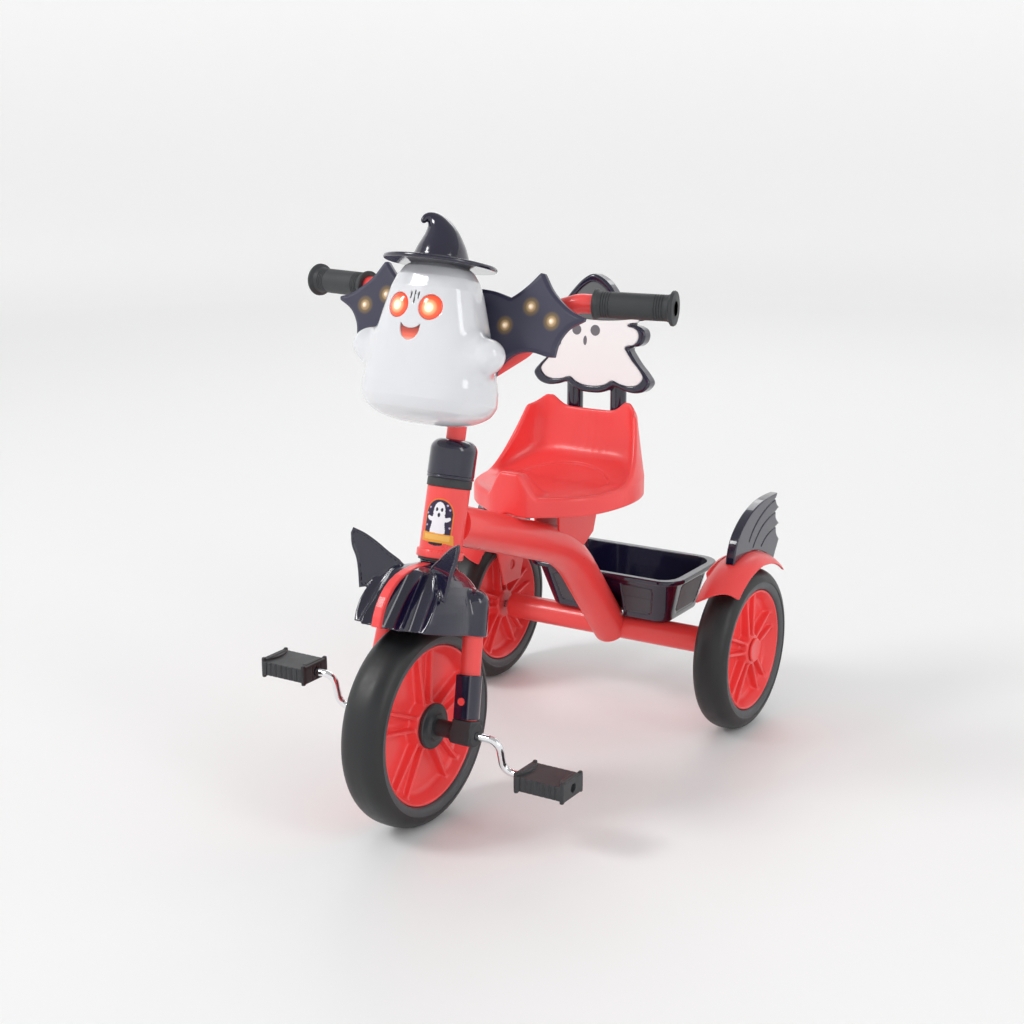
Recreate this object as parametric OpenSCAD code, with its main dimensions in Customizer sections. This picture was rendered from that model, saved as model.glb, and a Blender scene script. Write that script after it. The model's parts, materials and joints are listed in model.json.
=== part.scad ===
// Children's tricycle with a ghost figure on the handlebar, millimetres, +Z up, facing -Y.
// The origin lies on the floor, midway along the length.

/* [Overall] */
// Distance between the front and rear axles
wheelbase = 486; // [440:2:590]
// Distance between the middles of the two rear wheels
track = 394; // [380:2:480]
/* [Wheels] */
// Front wheel diameter
front_wheel_d = 250; // [208:2:300]
// Front tyre width
front_tyre_w = 56; // [46:1:60]
// Rear wheel diameter
rear_wheel_d = 222; // [185:1:268]
// Rear tyre width
rear_tyre_w = 48; // [40:1:52]
/* [Steering] */
// Backward lean of the steering axis
rake = 15; // [12:1:18]
// Stem tube diameter
stem_d = 23; // [19:0.5:27]
// Handlebar tube diameter
bar_d = 22; // [18:0.5:25]
// Handlebar grip diameter
grip_d = 30; // [28:1:36]
/* [Frame] */
// Main tube diameter
main_d = 50; // [42:1:60]
// Rear axle tube diameter
axle_tube_d = 36; // [30:1:43]
// Axle rod diameter
axle_d = 10; // [8:0.5:12]
/* [Seat and basket] */
// Seat width
seat_w = 208; // [173:1:250]
// Basket width at the rim
basket_w = 240; // [200:2:266]
/* [Build] */
// Sub-part to draw

/* [Hidden] */
$fn = 96;
RED = [0.94, 0.18, 0.18];
NAVY = [0.13, 0.12, 0.26];
DARK = [0.20, 0.21, 0.22];
WHITE = [0.88, 0.88, 0.90];
STEEL = [0.72, 0.73, 0.75];
GLOW = [1.0, 0.55, 0.25];
run_gap = 0.06;
gap = 0.3;
front_r = front_wheel_d / 2;
rear_r = rear_wheel_d / 2;
front_y = -(front_r + wheelbase + rear_r) / 2 + front_r;
rear_y = front_y + wheelbase;
wheel_x = track / 2;

// Distances along the steering axis, from the front axle
rim_u = front_r - 10;
crown_u = front_r + 25;
neck_u = front_r + 68;
head_u = front_r + 72;
head_len = 84;
ring_u = head_u + head_len + 0.2;
cap_u = ring_u + 10.2;
bar_u = front_r + 275;
ghost_u = front_r + 225;
steerer_r = max(16, stem_d / 2 + 4);
stem_r = stem_d / 2;
bar_r = bar_d / 2;
head_r = max(25.5, steerer_r + 9.5);
leg_r = 12;
crank_r = 4.5;
crank_x = 114;
crank_len = 42;
crank_lean = 15;
pedal_x = 174;
pedal_size = [68, 50, 22];

// Main tube: upper run from the head tube, a bend, then down to the axle tube
main_r = main_d / 2;
tube_r = axle_tube_d / 2;
main_u = head_u + 42;
head_y = front_y + main_u * sin(rake);
head_z = front_r + main_u * cos(rake);
bend_y = rear_y - 134;
bend_z = rear_r + 145;
foot_y = rear_y - 5;
foot_z = rear_r - 4;
slope_1 = atan2(head_z - bend_z, bend_y - head_y);
slope_2 = atan2(bend_z - foot_z, foot_y - bend_y);
bend_r = 200;
bend_t = bend_r * tan((slope_2 - slope_1) / 2);

// Seat frame of reference: under the middle of the pan, at the skirt's lower edge
seat_y = rear_y - 156;
seat_z = rear_r + 220;
seat_k = seat_w / 208;
post_x = 33;
post_y = 101;
post_r = 10;
board_y = rear_y - 75;
board_z = rear_r + 344;
basket_k = basket_w / 240;

// ---------- placing ----------
module steer() translate([0, front_y, front_r]) rotate([-rake, 0, 0]) children();
module front_axle() translate([0, front_y, front_r]) children();
module rear_axle_at() translate([0, rear_y, rear_r]) children();
module at_seat() translate([0, seat_y, seat_z]) children();
module at_board() translate([0, board_y, board_z]) rotate([-5, 0, 0]) children();
module along_x(x, r, len) translate([x, 0, 0]) rotate([0, 90, 0]) cylinder(r = r, h = len);
module x_disc(x, r, len) translate([x - len / 2, 0, 0]) rotate([0, 90, 0]) cylinder(r = r, h = len);
module both_sides() {
    children();
    mirror([1, 0, 0]) children();
}
module rod(from, to, r) {
    d = to - from;
    flat = norm([d[0], d[1]]);
    translate(from) rotate([0, atan2(flat, d[2]), atan2(d[1], d[0])]) cylinder(r = r, h = norm(d));
}

// ---------- frame ----------
bend_steps = 4;
bend_mid_y = bend_y - bend_t * cos(slope_1) - bend_r * sin(slope_1);
bend_mid_z = bend_z + bend_t * sin(slope_1) - bend_r * cos(slope_1);

// Corner points of the tube's centre line, with the bend as short straight steps
tube_line = [
    [0, head_y, head_z],
    for (i = [0:bend_steps]) let (a = slope_1 + i * (slope_2 - slope_1) / bend_steps)
        [0, bend_mid_y + bend_r * sin(a), bend_mid_z + bend_r * cos(a)],
    [0, foot_y, foot_z]];

module main_path(r) {
    for (i = [0:len(tube_line) - 2]) rod(tube_line[i], tube_line[i + 1], r);
    for (i = [1:len(tube_line) - 2]) translate(tube_line[i]) sphere(r = r + 0.1);
}

module head_tube() {
    color(RED) steer() difference() {
        union() {
            translate([0, 0, head_u]) cylinder(r = head_r, h = head_len);
            translate([0, 0, head_u]) cylinder(r = head_r + 2.5, h = 10);
        }
        translate([0, 0, head_u - 1]) cylinder(r = head_r - 4, h = head_len + 2);
    }
}

module main_tube() {
    color(RED) difference() {
        main_path(main_r);
        main_path(main_r - 2.5);
        steer() translate([0, 0, head_u - 60]) cylinder(r = head_r, h = head_len + 120);
        steer() translate([0, 0, head_u]) cylinder(r = head_r + 2.6, h = 10.1);
        rear_axle_at() along_x(-120, tube_r, 240);
    }
}

tube_half = wheel_x - 32;

module axle_tube() {
    color(RED) rear_axle_at() difference() {
        along_x(-tube_half, tube_r, 2 * tube_half);
        along_x(-tube_half - 1, tube_r - 3, 2 * tube_half + 2);
    }
}

module head_bushes() {
    color(DARK) steer() difference() {
        union() {
            translate([0, 0, head_u - 3.2]) cylinder(r = head_r, h = 3);
            translate([0, 0, head_u - 1]) cylinder(r = head_r - 4.05, h = 21);
            translate([0, 0, ring_u]) cylinder(r = head_r + 1, h = 9.8);
            translate([0, 0, ring_u - 20]) cylinder(r = head_r - 4.05, h = 21);
        }
        translate([0, 0, head_u - 5]) cylinder(r = steerer_r + run_gap, h = head_len + 30);
    }
}

// ---------- seat ----------
seat_edge = [[0, -125], [25, -122], [47, -108], [68, -92], [88, -67], [100, -30], [104, 14],
    [99, 48], [86, 74], [60, 84], [0, 86]];

function seat_outline(k, cut) = [
    for (p = seat_edge) [p[0] * k * (1 - cut / 104), p[1] * (1 - cut / 105)],
    for (i = [len(seat_edge) - 2:-1:1])
        [-seat_edge[i][0] * k * (1 - cut / 104), seat_edge[i][1] * (1 - cut / 105)]];

function seat_rear(k, cut) = [for (p = seat_outline(k, cut)) [p[0], max(p[1], -40 + cut)]];

module seat_bolt_places() for (x = [-26, 26], y = [-28, 28]) translate([x, y, 0]) children();

module back_hull(cut) {
    hull() {
        translate([0, 0, 12 + cut]) linear_extrude(12) polygon(seat_rear(seat_k, cut));
        for (s = [-1, 1]) translate([s * 46 * seat_k, 62 - cut / 4, 12]) cylinder(r = 28 - cut, h = 94);
    }
}

module seat() {
    color(RED) at_seat() difference() {
        union() {
            linear_extrude(26) polygon(seat_outline(seat_k, 0));
            back_hull(0);
            hull() {
                translate([0, -110, 20]) rotate([90, 0, 0]) linear_extrude(12)
                    polygon([[-34, 0], [34, 0], [13, 36], [-13, 36]]);
                translate([0, -62, 20]) rotate([90, 0, 0]) linear_extrude(2)
                    polygon([[-20, 0], [20, 0], [10, 6], [-10, 6]]);
            }
            for (s = [-1, 1]) translate([s * post_x, post_y, 0]) cylinder(r = post_r + 4, h = 62);
            for (s = [-1, 1]) translate([s * post_x - 9, 62, 0]) cube([18, 38, 62]);
        }
        hull() {
            translate([0, 0, 26]) linear_extrude(1) polygon(seat_rear(seat_k, 7));
            translate([0, -14, 130]) linear_extrude(1) polygon(seat_rear(seat_k * 0.83, 10));
            for (s = [-1, 1]) translate([s * 46 * seat_k, 56, 26]) cylinder(r = 24, h = 94);
        }
        translate([0, -2, 24]) linear_extrude(20) polygon([for (a = [0:6:354]) [70 * cos(a), 54 * sin(a)]]);
        translate([-36 * seat_k, 40, 107 - 13]) cube([72 * seat_k, 70, 40]);
        for (s = [-1, 1]) translate([s * post_x, post_y, -1]) cylinder(r = 5, h = 20);
        for (s = [-1, 1]) translate([s * post_x, post_y, 14]) cylinder(r = post_r + 0.1, h = 130);
        difference() {
            translate([0, 0, -1]) linear_extrude(21) polygon(seat_outline(seat_k, 5));
            seat_bolt_places() cylinder(r = 7, h = 22);
            for (s = [-1, 1]) translate([s * post_x, post_y, -2]) cylinder(r = post_r + 4, h = 62);
        }
        seat_bolt_places() translate([0, 0, -1]) cylinder(r = 2.6, h = 17);
        translate([0, 0, -1]) linear_extrude(13.5) square([90, 96], center = true);
        translate([0, -seat_y, -seat_z]) main_path(main_r + 1.5);
    }
}

bracket_top = seat_z + 12.2;

module seat_bracket() {
    low = 60;
    color(RED) difference() {
        union() {
            translate([-42, seat_y - 44, bracket_top - 4]) cube([84, 88, 4]);
            translate([-19, 0, 0]) rotate([90, 0, 90]) linear_extrude(38) polygon([
                [seat_y - 40, bracket_top - 2], [seat_y - 30, bracket_top - 30],
                [seat_y - 28, bracket_top - low], [seat_y + 20, bracket_top - low - 34],
                [seat_y + 62, bracket_top - low - 12], [seat_y + 84, bracket_top - 14],
                [seat_y + 44, bracket_top - 2]]);
        }
        translate([-16, 0, -8]) rotate([90, 0, 90]) linear_extrude(32) polygon([
            [seat_y - 36, bracket_top - 2], [seat_y - 28, bracket_top - 120],
            [seat_y + 80, bracket_top - 120], [seat_y + 76, bracket_top - 12],
            [seat_y + 44, bracket_top]]);
        main_path(main_r + 0.02);
        translate([0, 0, -110]) main_path(main_r + 50);
        at_seat() seat_bolt_places() translate([0, 0, 4]) cylinder(r = 2.7, h = 10);
        at_seat() seat_bolt_places() translate([0, 0, -60]) cylinder(r = 6, h = 68.1);
    }
}

module frame_bolts() {
    color(STEEL) at_seat() seat_bolt_places() {
        translate([0, 0, 4]) cylinder(r = 2.5, h = 11.5);
        translate([0, 0, 4]) cylinder(r = 4.8, h = 4);
    }
    color(STEEL) for (x = [-50, 50]) translate([x * basket_k, rear_y, 0]) {
        translate([0, 0, basket_floor + 0.1]) cylinder(r = 2.5, h = 2.3);
    }
}

// ---------- backrest ----------
board_right = [[0, 0], [14, 1], [26, 5], [36, 11], [50, 7], [66, 5], [80, 9], [88, 20], [80, 32],
    [69, 43], [60, 54], [55, 62], [60, 65.5], [68, 67], [75, 73], [77, 82], [74, 89], [66, 93],
    [57, 95], [62, 99], [73, 101], [76, 105], [72, 109], [60, 109]];
board_hat = [[50, 108], [43, 117], [33, 129], [21, 144], [9, 153], [-5, 157], [-19, 150], [-32, 137],
    [-43, 123], [-51, 109]];
board_shape = [
    for (p = board_right) p,
    for (p = board_hat) p,
    for (i = [len(board_right) - 1:-1:1]) [-board_right[i][0], board_right[i][1]]];
panel_shape = [for (p = board_shape) [p[0] * 0.88, (p[1] - 74) * 0.88 + 74]];
board_t = 20;

module board_posts(r, h) {
    for (s = [-1, 1]) translate([s * post_x, seat_y + post_y, seat_z + 14.3]) cylinder(r = r, h = h);
}

post_h = 156;

module backrest_frame() {
    color(NAVY) difference() {
        union() {
            at_board() translate([0, board_t, 0]) rotate([90, 0, 0])
                linear_extrude(board_t) polygon(board_shape);
            intersection() {
                board_posts(post_r + 3.5, post_h + 4);
                translate([-60, board_y, board_z + 8]) cube([120, 60, 90]);
            }
        }
        at_board() translate([0, 5, 0]) rotate([90, 0, 0]) linear_extrude(6) polygon(panel_shape);
        board_posts(post_r + 0.05, post_h);
    }
}

module backrest_panel() {
    color(WHITE) at_board() translate([0, 4.9, 0]) rotate([90, 0, 0])
        linear_extrude(2.5)
            polygon([for (p = panel_shape) [p[0] * 0.992, (p[1] - 74) * 0.992 + 74]]);
}

module backrest_posts() {
    color(NAVY) difference() {
        board_posts(post_r, post_h - 0.3);
        translate([0, 0, -1]) board_posts(post_r - 3, post_h + 2);
    }
}

// ---------- basket ----------
basket_floor = rear_r + tube_r + gap;
basket_rim = basket_floor + 70;

module round_slab(w, y0, y1, r, z, h) {
    for (x = [-w / 2 + r, w / 2 - r], y = [y0 + r, y1 - r]) translate([x, y, z]) cylinder(r = r, h = h, $fn = 32);
}

module basket_hull(t) {
    hull() {
        round_slab(184 * basket_k - 2 * t, rear_y - 16 + t, rear_y + 90 - t, 20 - t, basket_floor + t, 1);
        round_slab(222 * basket_k - 2 * t, rear_y - 40 + t, rear_y + 98 - t, 26 - t, basket_rim + t - 1, 1);
    }
}

// Square room around the foot of the main tube
module tube_room(g) {
    r = main_r + g;
    up = [r * sin(slope_2), r * cos(slope_2)];
    past = [20 * cos(slope_2), -20 * sin(slope_2)];
    translate([-r, 0, 0]) rotate([90, 0, 90]) linear_extrude(2 * r) polygon([
        [bend_y, bend_z] + up, [foot_y, foot_z] + past + up,
        [foot_y, foot_z] + past - up, [bend_y, bend_z] - up]);
}

module basket() {
    color(NAVY) difference() {
        union() {
            difference() {
                union() {
                    basket_hull(0);
                    hull() round_slab(basket_w, rear_y - 46, rear_y + 106, 30, basket_rim - 5, 5);
                }
                basket_hull(2.5);
            }
            intersection() {
                tube_room(4.5);
                basket_hull(0.4);
            }
        }
        tube_room(1.5);
        for (x = [-50, 50]) translate([x * basket_k, rear_y, basket_floor - 1]) cylinder(r = 2.7, h = 6);
    }
}

// ---------- mudguards and fins ----------
guard_edge_r = rear_r + 8;
guard_crown_r = rear_r + 23;
guard_w = 60;
guard_x = wheel_x + 1;
guard_arc_r = (pow(guard_w / 2, 2) + pow(guard_crown_r - guard_edge_r, 2))
    / (2 * (guard_crown_r - guard_edge_r));
plate_x = tube_half + 0.4;

module guard_ring(grow) {
    rotate([0, 90, 0]) rotate_extrude() intersection() {
        translate([guard_crown_r - guard_arc_r, 0]) circle(r = guard_arc_r + grow);
        translate([guard_edge_r, -guard_w / 2]) square([40, guard_w]);
    }
}

module mudguard() {
    rear_axle_at() difference() {
        union() {
            translate([guard_x, 0, 0]) intersection() {
                difference() {
                    guard_ring(0);
                    guard_ring(-3);
                    along_x(-guard_w, guard_edge_r, 2 * guard_w);
                }
                rotate([90, 0, 90]) linear_extrude(120, center = true)
                    polygon([[0, 0], [124, 166], [124, 260], [-140, 260], [-140, 132]]);
            }
            translate([plate_x, 0, 0]) rotate([90, 0, 90]) linear_extrude(3.4) polygon([
                for (a = [-150:30:-30]) [20 * cos(a), 20 * sin(a)],
                [34, guard_edge_r + 2], [-52, guard_edge_r - 12]]);
            translate([plate_x, -16, 20]) cube([6, 3, guard_edge_r - 14]);
            translate([plate_x, 12, 20]) cube([6, 3, guard_edge_r - 14]);
            translate([plate_x, -16, guard_edge_r - 2]) cube([7, 31, 9]);
        }
        along_x(0, axle_d / 2 + 0.3, 400);
        translate([0, -2, 62]) along_x(0, 7, 400);
        along_x(plate_x + 3.5, 19, 60);
    }
}

fin_side = [[-47, 100], [-43, 126], [-38, 146], [-29, 161], [-14, 174], [6, 185], [28, 192], [50, 196],
    [98, 196.5], [94, 191], [104.5, 174.5], [90, 170], [106.5, 151], [93, 148], [107, 129], [88, 100]];

module fin() {
    rear_axle_at() difference() {
        translate([wheel_x - 7, 0, 0]) rotate([90, 0, 90]) linear_extrude(13)
            polygon([for (p = fin_side) [p[0], p[1] + rear_r - 111]]);
        translate([guard_x, 0, 0]) rotate([0, 90, 0]) rotate_extrude() union() {
            translate([guard_crown_r - guard_arc_r, 0]) circle(r = guard_arc_r + gap);
            translate([0, -40]) square([guard_edge_r, 80]);
        }
    }
}

// ---------- rear axle and wheels ----------
axle_r = axle_d / 2;
axle_end = wheel_x + 17;

module rear_axle() {
    color(STEEL) rear_axle_at() along_x(-axle_end, axle_r, 2 * axle_end);
}

module axle_bushes() {
    color(DARK) rear_axle_at() both_sides() difference() {
        along_x(tube_half - 18, tube_r - 3.05, 18);
        along_x(tube_half - 20, axle_r + 0.05, 30);
    }
}

module axle_caps() {
    color(STEEL) rear_axle_at() both_sides() difference() {
        along_x(wheel_x + 14.4, 8, 4.6);
        along_x(wheel_x + 10, axle_r + 0.02, 7.1);
    }
}

module tyre(r, rim_r, w) {
    belly = w / 2;
    rotate([0, 90, 0]) rotate_extrude() difference() {
        union() {
            translate([rim_r, -w / 2 + 5]) square([r - rim_r - belly * 0.62, w - 10]);
            intersection() {
                translate([r - belly * 1.28, 0]) circle(r = belly * 1.28);
                translate([rim_r, -w / 2]) square([r, w]);
            }
        }
        translate([rim_r + 5.9, 0]) circle(r = 0.01);
    }
}

module twin_spokes(r0, r1, x0, t) {
    for (i = [0:4], s = [-1, 1]) rotate([i * 72, 0, 0]) rotate([s * 5, 0, 0])
        translate([x0, s * 5 - 2.5, r0]) cube([t, 5, r1 - r0]);
}

module rim_body(rim_r, w, hub_r, hub_half) {
    web = 5;
    difference() {
        union() {
            rotate([0, 90, 0]) rotate_extrude() difference() {
                translate([rim_r - 9, -w / 2]) square([9, w]);
                translate([rim_r - 10, web]) polygon([[0, 0], [5, 4], [7, w], [0, w]]);
                translate([rim_r - 10, -web]) polygon([[0, 0], [5, -4], [7, -w], [0, -w]]);
            }
            x_disc(0, rim_r - 5, web);
            x_disc(0, hub_r, 2 * hub_half);
            twin_spokes(hub_r - 4, rim_r - 6, 0, w / 2 - 7);
            mirror([1, 0, 0]) twin_spokes(hub_r - 4, rim_r - 6, 0, w / 2 - 7);
        }
        children();
    }
}

rear_rim_r = rear_r - 29;
front_rim_r = front_r - 28;

module rear_tyre() {
    rear_axle_at() translate([wheel_x, 0, 0]) tyre(rear_r, rear_rim_r, rear_tyre_w);
}

module rear_rim() {
    rear_axle_at() translate([wheel_x, 0, 0]) rim_body(rear_rim_r - 0.02, rear_tyre_w - 8, 22, 20) {
        along_x(-30, axle_r + run_gap, 60);
        along_x(14, 13.05, 30);
    }
}

module hub_cover() {
    rear_axle_at() translate([wheel_x, 0, 0]) difference() {
        union() {
            along_x(14.2, 13, 6);
            along_x(20.2, 16, 3.4);
        }
        along_x(13, 10.5, 8.5);
    }
}

// ---------- fork ----------
leg_tilt = 4.3;
leg_foot_x = 67.5;
leg_len = (crown_u - 20) / cos(leg_tilt);

module leg_line() translate([leg_foot_x, 0, 20]) rotate([0, -leg_tilt, 0]) children();

module fork_leg() {
    steer() intersection() {
        leg_line() translate([0, 0, -10]) difference() {
            cylinder(r = leg_r, h = leg_len + 20);
            translate([0, 0, -1]) cylinder(r = leg_r - 1.6, h = leg_len + 30);
            translate([0, 0, 28]) rotate([90, 0, 0]) cylinder(r = 4.9, h = 30);
        }
        translate([0, -40, 0]) cube([120, 80, crown_u - 0.05]);
    }
}

module crown_plate(g) {
    translate([0, 0, crown_u - g]) hull() for (x = [-56, 56]) translate([x, 0, 0])
        cylinder(r = 12 + g, h = 6 + 2 * g, $fn = 48);
}

module fork_crown() {
    color(RED) steer() difference() {
        union() {
            crown_plate(0);
            translate([0, 0, crown_u]) cylinder(r = steerer_r, h = cap_u + 9 - crown_u);
        }
        translate([0, 0, crown_u - 1]) cylinder(r = stem_r + 0.1, h = 200);
    }
}

module fork_cover() {
    steer() intersection() {
        leg_line() difference() {
            cylinder(r = leg_r + 2.8, h = 49);
            translate([0, 0, -1]) cylinder(r = leg_r + 0.05, h = 60);
            translate([0, 0, 18]) rotate([90, 0, 0]) cylinder(r = 4.65, h = 30);
        }
        translate([0, -40, 17.4]) cube([120, 80, 80]);
    }
}

block_x = leg_foot_x - leg_r - 3.5;

module axle_block() {
    front_axle() difference() {
        union() {
            along_x(block_x, 14, 32);
            rotate([-rake, 0, 0]) intersection() {
                leg_line() translate([0, 0, -24]) cylinder(r = leg_r + 3.4, h = 24);
                translate([0, -40, -10]) cube([120, 80, 27]);
            }
        }
        along_x(40, crank_r + run_gap, 60);
        rotate([-rake, 0, 0]) leg_line() translate([0, 0, -11.2]) cylinder(r = leg_r + 0.05, h = 60);
    }
}

module fork_button() {
    steer() leg_line() translate([0, -leg_r + 8, 18]) rotate([90, 0, 0]) cylinder(r = 4.5, h = 12.4);
}

// ---------- stem, handlebar, grips ----------
bar_low = [0, 0, bar_u];
bar_elbow = [76, 0, bar_u + 52];
bar_knee = [114, 0, bar_u + 101];
bar_turn = [140, 2, bar_u + 110];
bar_end = [247, 24, bar_u + 115];

module half_bar(r) {
    rod(bar_low, bar_elbow, r);
    rod(bar_elbow, bar_knee, r);
    rod(bar_knee, bar_turn, r);
    rod(bar_turn, bar_end, r);
    for (p = [bar_low, bar_elbow, bar_knee, bar_turn]) translate(p) sphere(r = r + 0.35);
}

module handlebar() {
    color(RED) steer() difference() {
        both_sides() half_bar(bar_r);
        both_sides() half_bar(bar_r - 1.8);
    }
}

module stem() {
    color(RED) steer() difference() {
        translate([0, 0, head_u + 20]) cylinder(r = stem_r, h = bar_u - head_u - 20);
        translate([0, 0, head_u + 19]) cylinder(r = stem_r - 2, h = 60);
        both_sides() half_bar(bar_r + 0.02);
    }
}

module grip_line() {
    d = bar_end - bar_turn;
    translate(bar_turn) rotate([0, atan2(norm([d[0], d[1]]), d[2]), atan2(d[1], d[0])]) children();
}

grip_len = 94;
grip_at = norm(bar_end - bar_turn) - grip_len + 3;

module grip() {
    grip_r = grip_d / 2;
    steer() grip_line() translate([0, 0, grip_at]) difference() {
        union() {
            cylinder(r = grip_r, h = grip_len);
            cylinder(r = grip_r + 2.5, h = 4);
            translate([0, 0, grip_len - 5]) cylinder(r = grip_r + 5, h = 5);
            for (z = [9, 13, 17, grip_len - 22, grip_len - 18, grip_len - 14])
                translate([0, 0, z]) cylinder(r = grip_r + 0.8, h = 1.6);
            translate([grip_r - 1, -1.5, 0]) rotate([-90, 0, 0]) linear_extrude(3)
                polygon([[0, 0], [8, -1.5], [0, -4]]);
        }
        translate([0, 0, -1]) cylinder(r = bar_r + 0.05, h = grip_len - 2);
    }
}

// ---------- cap and release button ----------
module head_cap() {
    cap_r = head_r + 2.5;
    cap_h = 46.5;
    round_r = 14;
    color(NAVY) steer() translate([0, 0, cap_u]) difference() {
        rotate_extrude() union() {
            square([cap_r, cap_h - round_r]);
            square([cap_r - round_r, cap_h]);
            translate([cap_r - round_r, cap_h - round_r]) intersection() {
                circle(r = round_r);
                square([round_r, round_r]);
            }
        }
        translate([0, 0, -1]) cylinder(r = steerer_r + 0.1, h = 11);
        translate([0, 0, -1]) cylinder(r = stem_r + 0.1, h = 60);
        translate([-7.3, cap_r - 7.6, 2]) cube([14.6, 12, 32]);
        translate([0, cap_r - 8, 26]) rotate([-90, 0, 0]) cylinder(r = 5, h = 10);
    }
}

module release_button() {
    cap_r = head_r + 2.5;
    color(RED) steer() translate([0, 0, cap_u]) hull() {
        translate([-7, cap_r - 4, 2.4]) cube([14, 4.5, 31.2]);
        translate([-5, cap_r - 4, 16]) cube([10, 7, 14]);
    }
}

// ---------- front fender ----------
fender_edge = [[0, -111], [22, -107], [40, -96], [55, -78], [64, -52], [66, -20], [65, 6], [58, 26],
    [34, 38], [0, 41]];

function fender_ring(k, w, cut) = [
    for (p = fender_edge) [max(p[0] * k - cut, 0), (p[1] < 0 ? p[1] + cut : p[1] - cut) * k + w],
    for (i = [len(fender_edge) - 2:-1:1]) let (p = fender_edge[i])
        [-max(p[0] * k - cut, 0), (p[1] < 0 ? p[1] + cut : p[1] - cut) * k + w]];

fender_steps = [[0, 1, 0], [35, 0.93, 0], [54, 0.76, -2], [67, 0.52, -3], [73, 0.33, -2]];

module fender_hull(cut) {
    hull() for (s = fender_steps) translate([0, 0, rim_u + s[0] - cut - (s[0] == 0 ? 0.1 : 0)])
        linear_extrude(1) polygon(fender_ring(s[1], s[2], cut));
}

column_top = crown_u + 9;

module fender_column(cut) {
    intersection() {
        leg_line() cylinder(r = 17 - cut, h = 200);
        translate([0, -40, rim_u - 1.5 * cut]) cube([120, 80, column_top - rim_u]);
    }
}

module ear() {
    translate([0, -30, 0]) rotate([0, 0, 24]) rotate([90, 0, 0]) linear_extrude(4)
        polygon([[24, front_r + 40], [22, front_r + 60], [30, front_r + 66], [58, front_r + 86],
            [88, front_r + 96], [90, front_r + 84], [80, front_r + 62], [72, front_r + 30]]);
}

module front_fender() {
    color(NAVY) steer() difference() {
        union() {
            fender_hull(0);
            both_sides() fender_column(0);
            both_sides() translate([57.4, 0, column_top - 0.1]) sphere(r = 17);
            both_sides() ear();
            translate([0, 0, neck_u - 12]) cylinder(r = steerer_r + 7, h = 12.4);
        }
        fender_hull(2.6);
        both_sides() fender_column(2.6);
        translate([0, 0, rim_u - 20]) cylinder(r = steerer_r + 0.2, h = 200);
        translate([-100, -150, rim_u - 60]) cube([200, 250, 60]);
        stripe_block(0.05);
        crown_plate(0.5);
        rotate([rake, 0, 0]) along_x(-38, front_r + 7, 76);
    }
}

stripe_side = [[-24, neck_u + 0.3], [-38, neck_u - 2], [-62, neck_u - 13], [-88, neck_u - 35],
    [-104, neck_u - 58], [-114, rim_u + 1], [-106, rim_u + 1], [-97, neck_u - 59],
    [-82, neck_u - 37], [-58, neck_u - 17], [-36, neck_u - 7], [-24, neck_u - 4]];

module stripe_block(g) {
    translate([-5.5 - g, 0, 0]) rotate([90, 0, 90]) linear_extrude(11 + 2 * g) polygon(stripe_side);
}

module fender_stripe() {
    color(RED) steer() difference() {
        stripe_block(0);
        translate([0, 0, neck_u - 30]) cylinder(r = steerer_r + 7.1, h = 60);
    }
}

// ---------- ghost figure ----------
ghost_steps = [[0, -66, 70, 50], [6, -66, 78, 58], [25, -67, 82, 62], [60, -70, 77, 58],
    [100, -74, 65, 52], [138, -78, 51, 44], [164, -80, 42, 36], [179, -81, 32, 27]];
ghost_back_w = -14;
ghost_split_w = -38;

module ghost_hull(cut) {
    hull() for (s = ghost_steps) translate([0, s[1], ghost_u + s[0] + (s[0] < 50 ? cut : -cut)])
        scale([(s[2] - cut) / 50, (s[3] - cut) / 50, 1]) cylinder(r = 50, h = 0.5, $fn = 48);
}

module w_slab(w0, w1) translate([-150, w0, ghost_u - 50]) cube([300, w1 - w0, 400]);

module w_pin(x, w, u, r, len) translate([x, w, u]) rotate([-90, 0, 0]) cylinder(r = r, h = len);

eye_x = 19;
eye_u = ghost_u + 129;
mouth_u = ghost_u + 102;

module ghost_front() {
    color(WHITE) steer() difference() {
        union() {
            difference() {
                intersection() {
                    ghost_hull(0);
                    w_slab(-160, ghost_split_w);
                }
                ghost_hull(3);
            }
            both_sides() difference() {
                hull() {
                    translate([62, -78, ghost_u + 76]) sphere(r = 15, $fn = 32);
                    translate([83, -82, ghost_u + 84]) sphere(r = 16.5, $fn = 32);
                }
                ghost_hull(2);
            }
        }
        for (s = [-1, 1]) w_pin(s * eye_x, -140, eye_u, 15.1, 50);
        w_pin(0, -140, mouth_u, 12.1, 50);
        w_slab(ghost_split_w, 50);
    }
}

module ghost_back() {
    color(WHITE) steer() difference() {
        intersection() {
            ghost_hull(0);
            w_slab(ghost_split_w + 0.1, ghost_back_w);
        }
        intersection() {
            ghost_hull(3);
            w_slab(-60, ghost_back_w - 3);
        }
        w_pin(0, -30, ghost_u + 120, 6 + run_gap, 30);
        for (u = [40, 90]) w_pin(0, -30, ghost_u + u, 2.6, 30);
    }
}

module ghost_clamp() {
    color(DARK) steer() difference() {
        union() {
            translate([0, 0, ghost_u + 22]) cylinder(r = stem_r + 4, h = 22);
            translate([-12, ghost_back_w + 0.1, ghost_u + 22]) cube([24, 8, 22]);
        }
        w_slab(-60, ghost_back_w + 0.1);
        translate([0, 0, ghost_u]) cylinder(r = stem_r + 0.05, h = 80);
        w_pin(0, -30, ghost_u + 40, 2.6, 60);
        both_sides() half_bar(bar_r + 0.3);
    }
}

module ghost_screws() {
    color(STEEL) steer() w_pin(0, -20, ghost_u + 40, 2.5, 6.2);
    color(STEEL) steer() w_pin(0, -21, ghost_u + 90, 2.5, 8.5);
}

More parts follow.
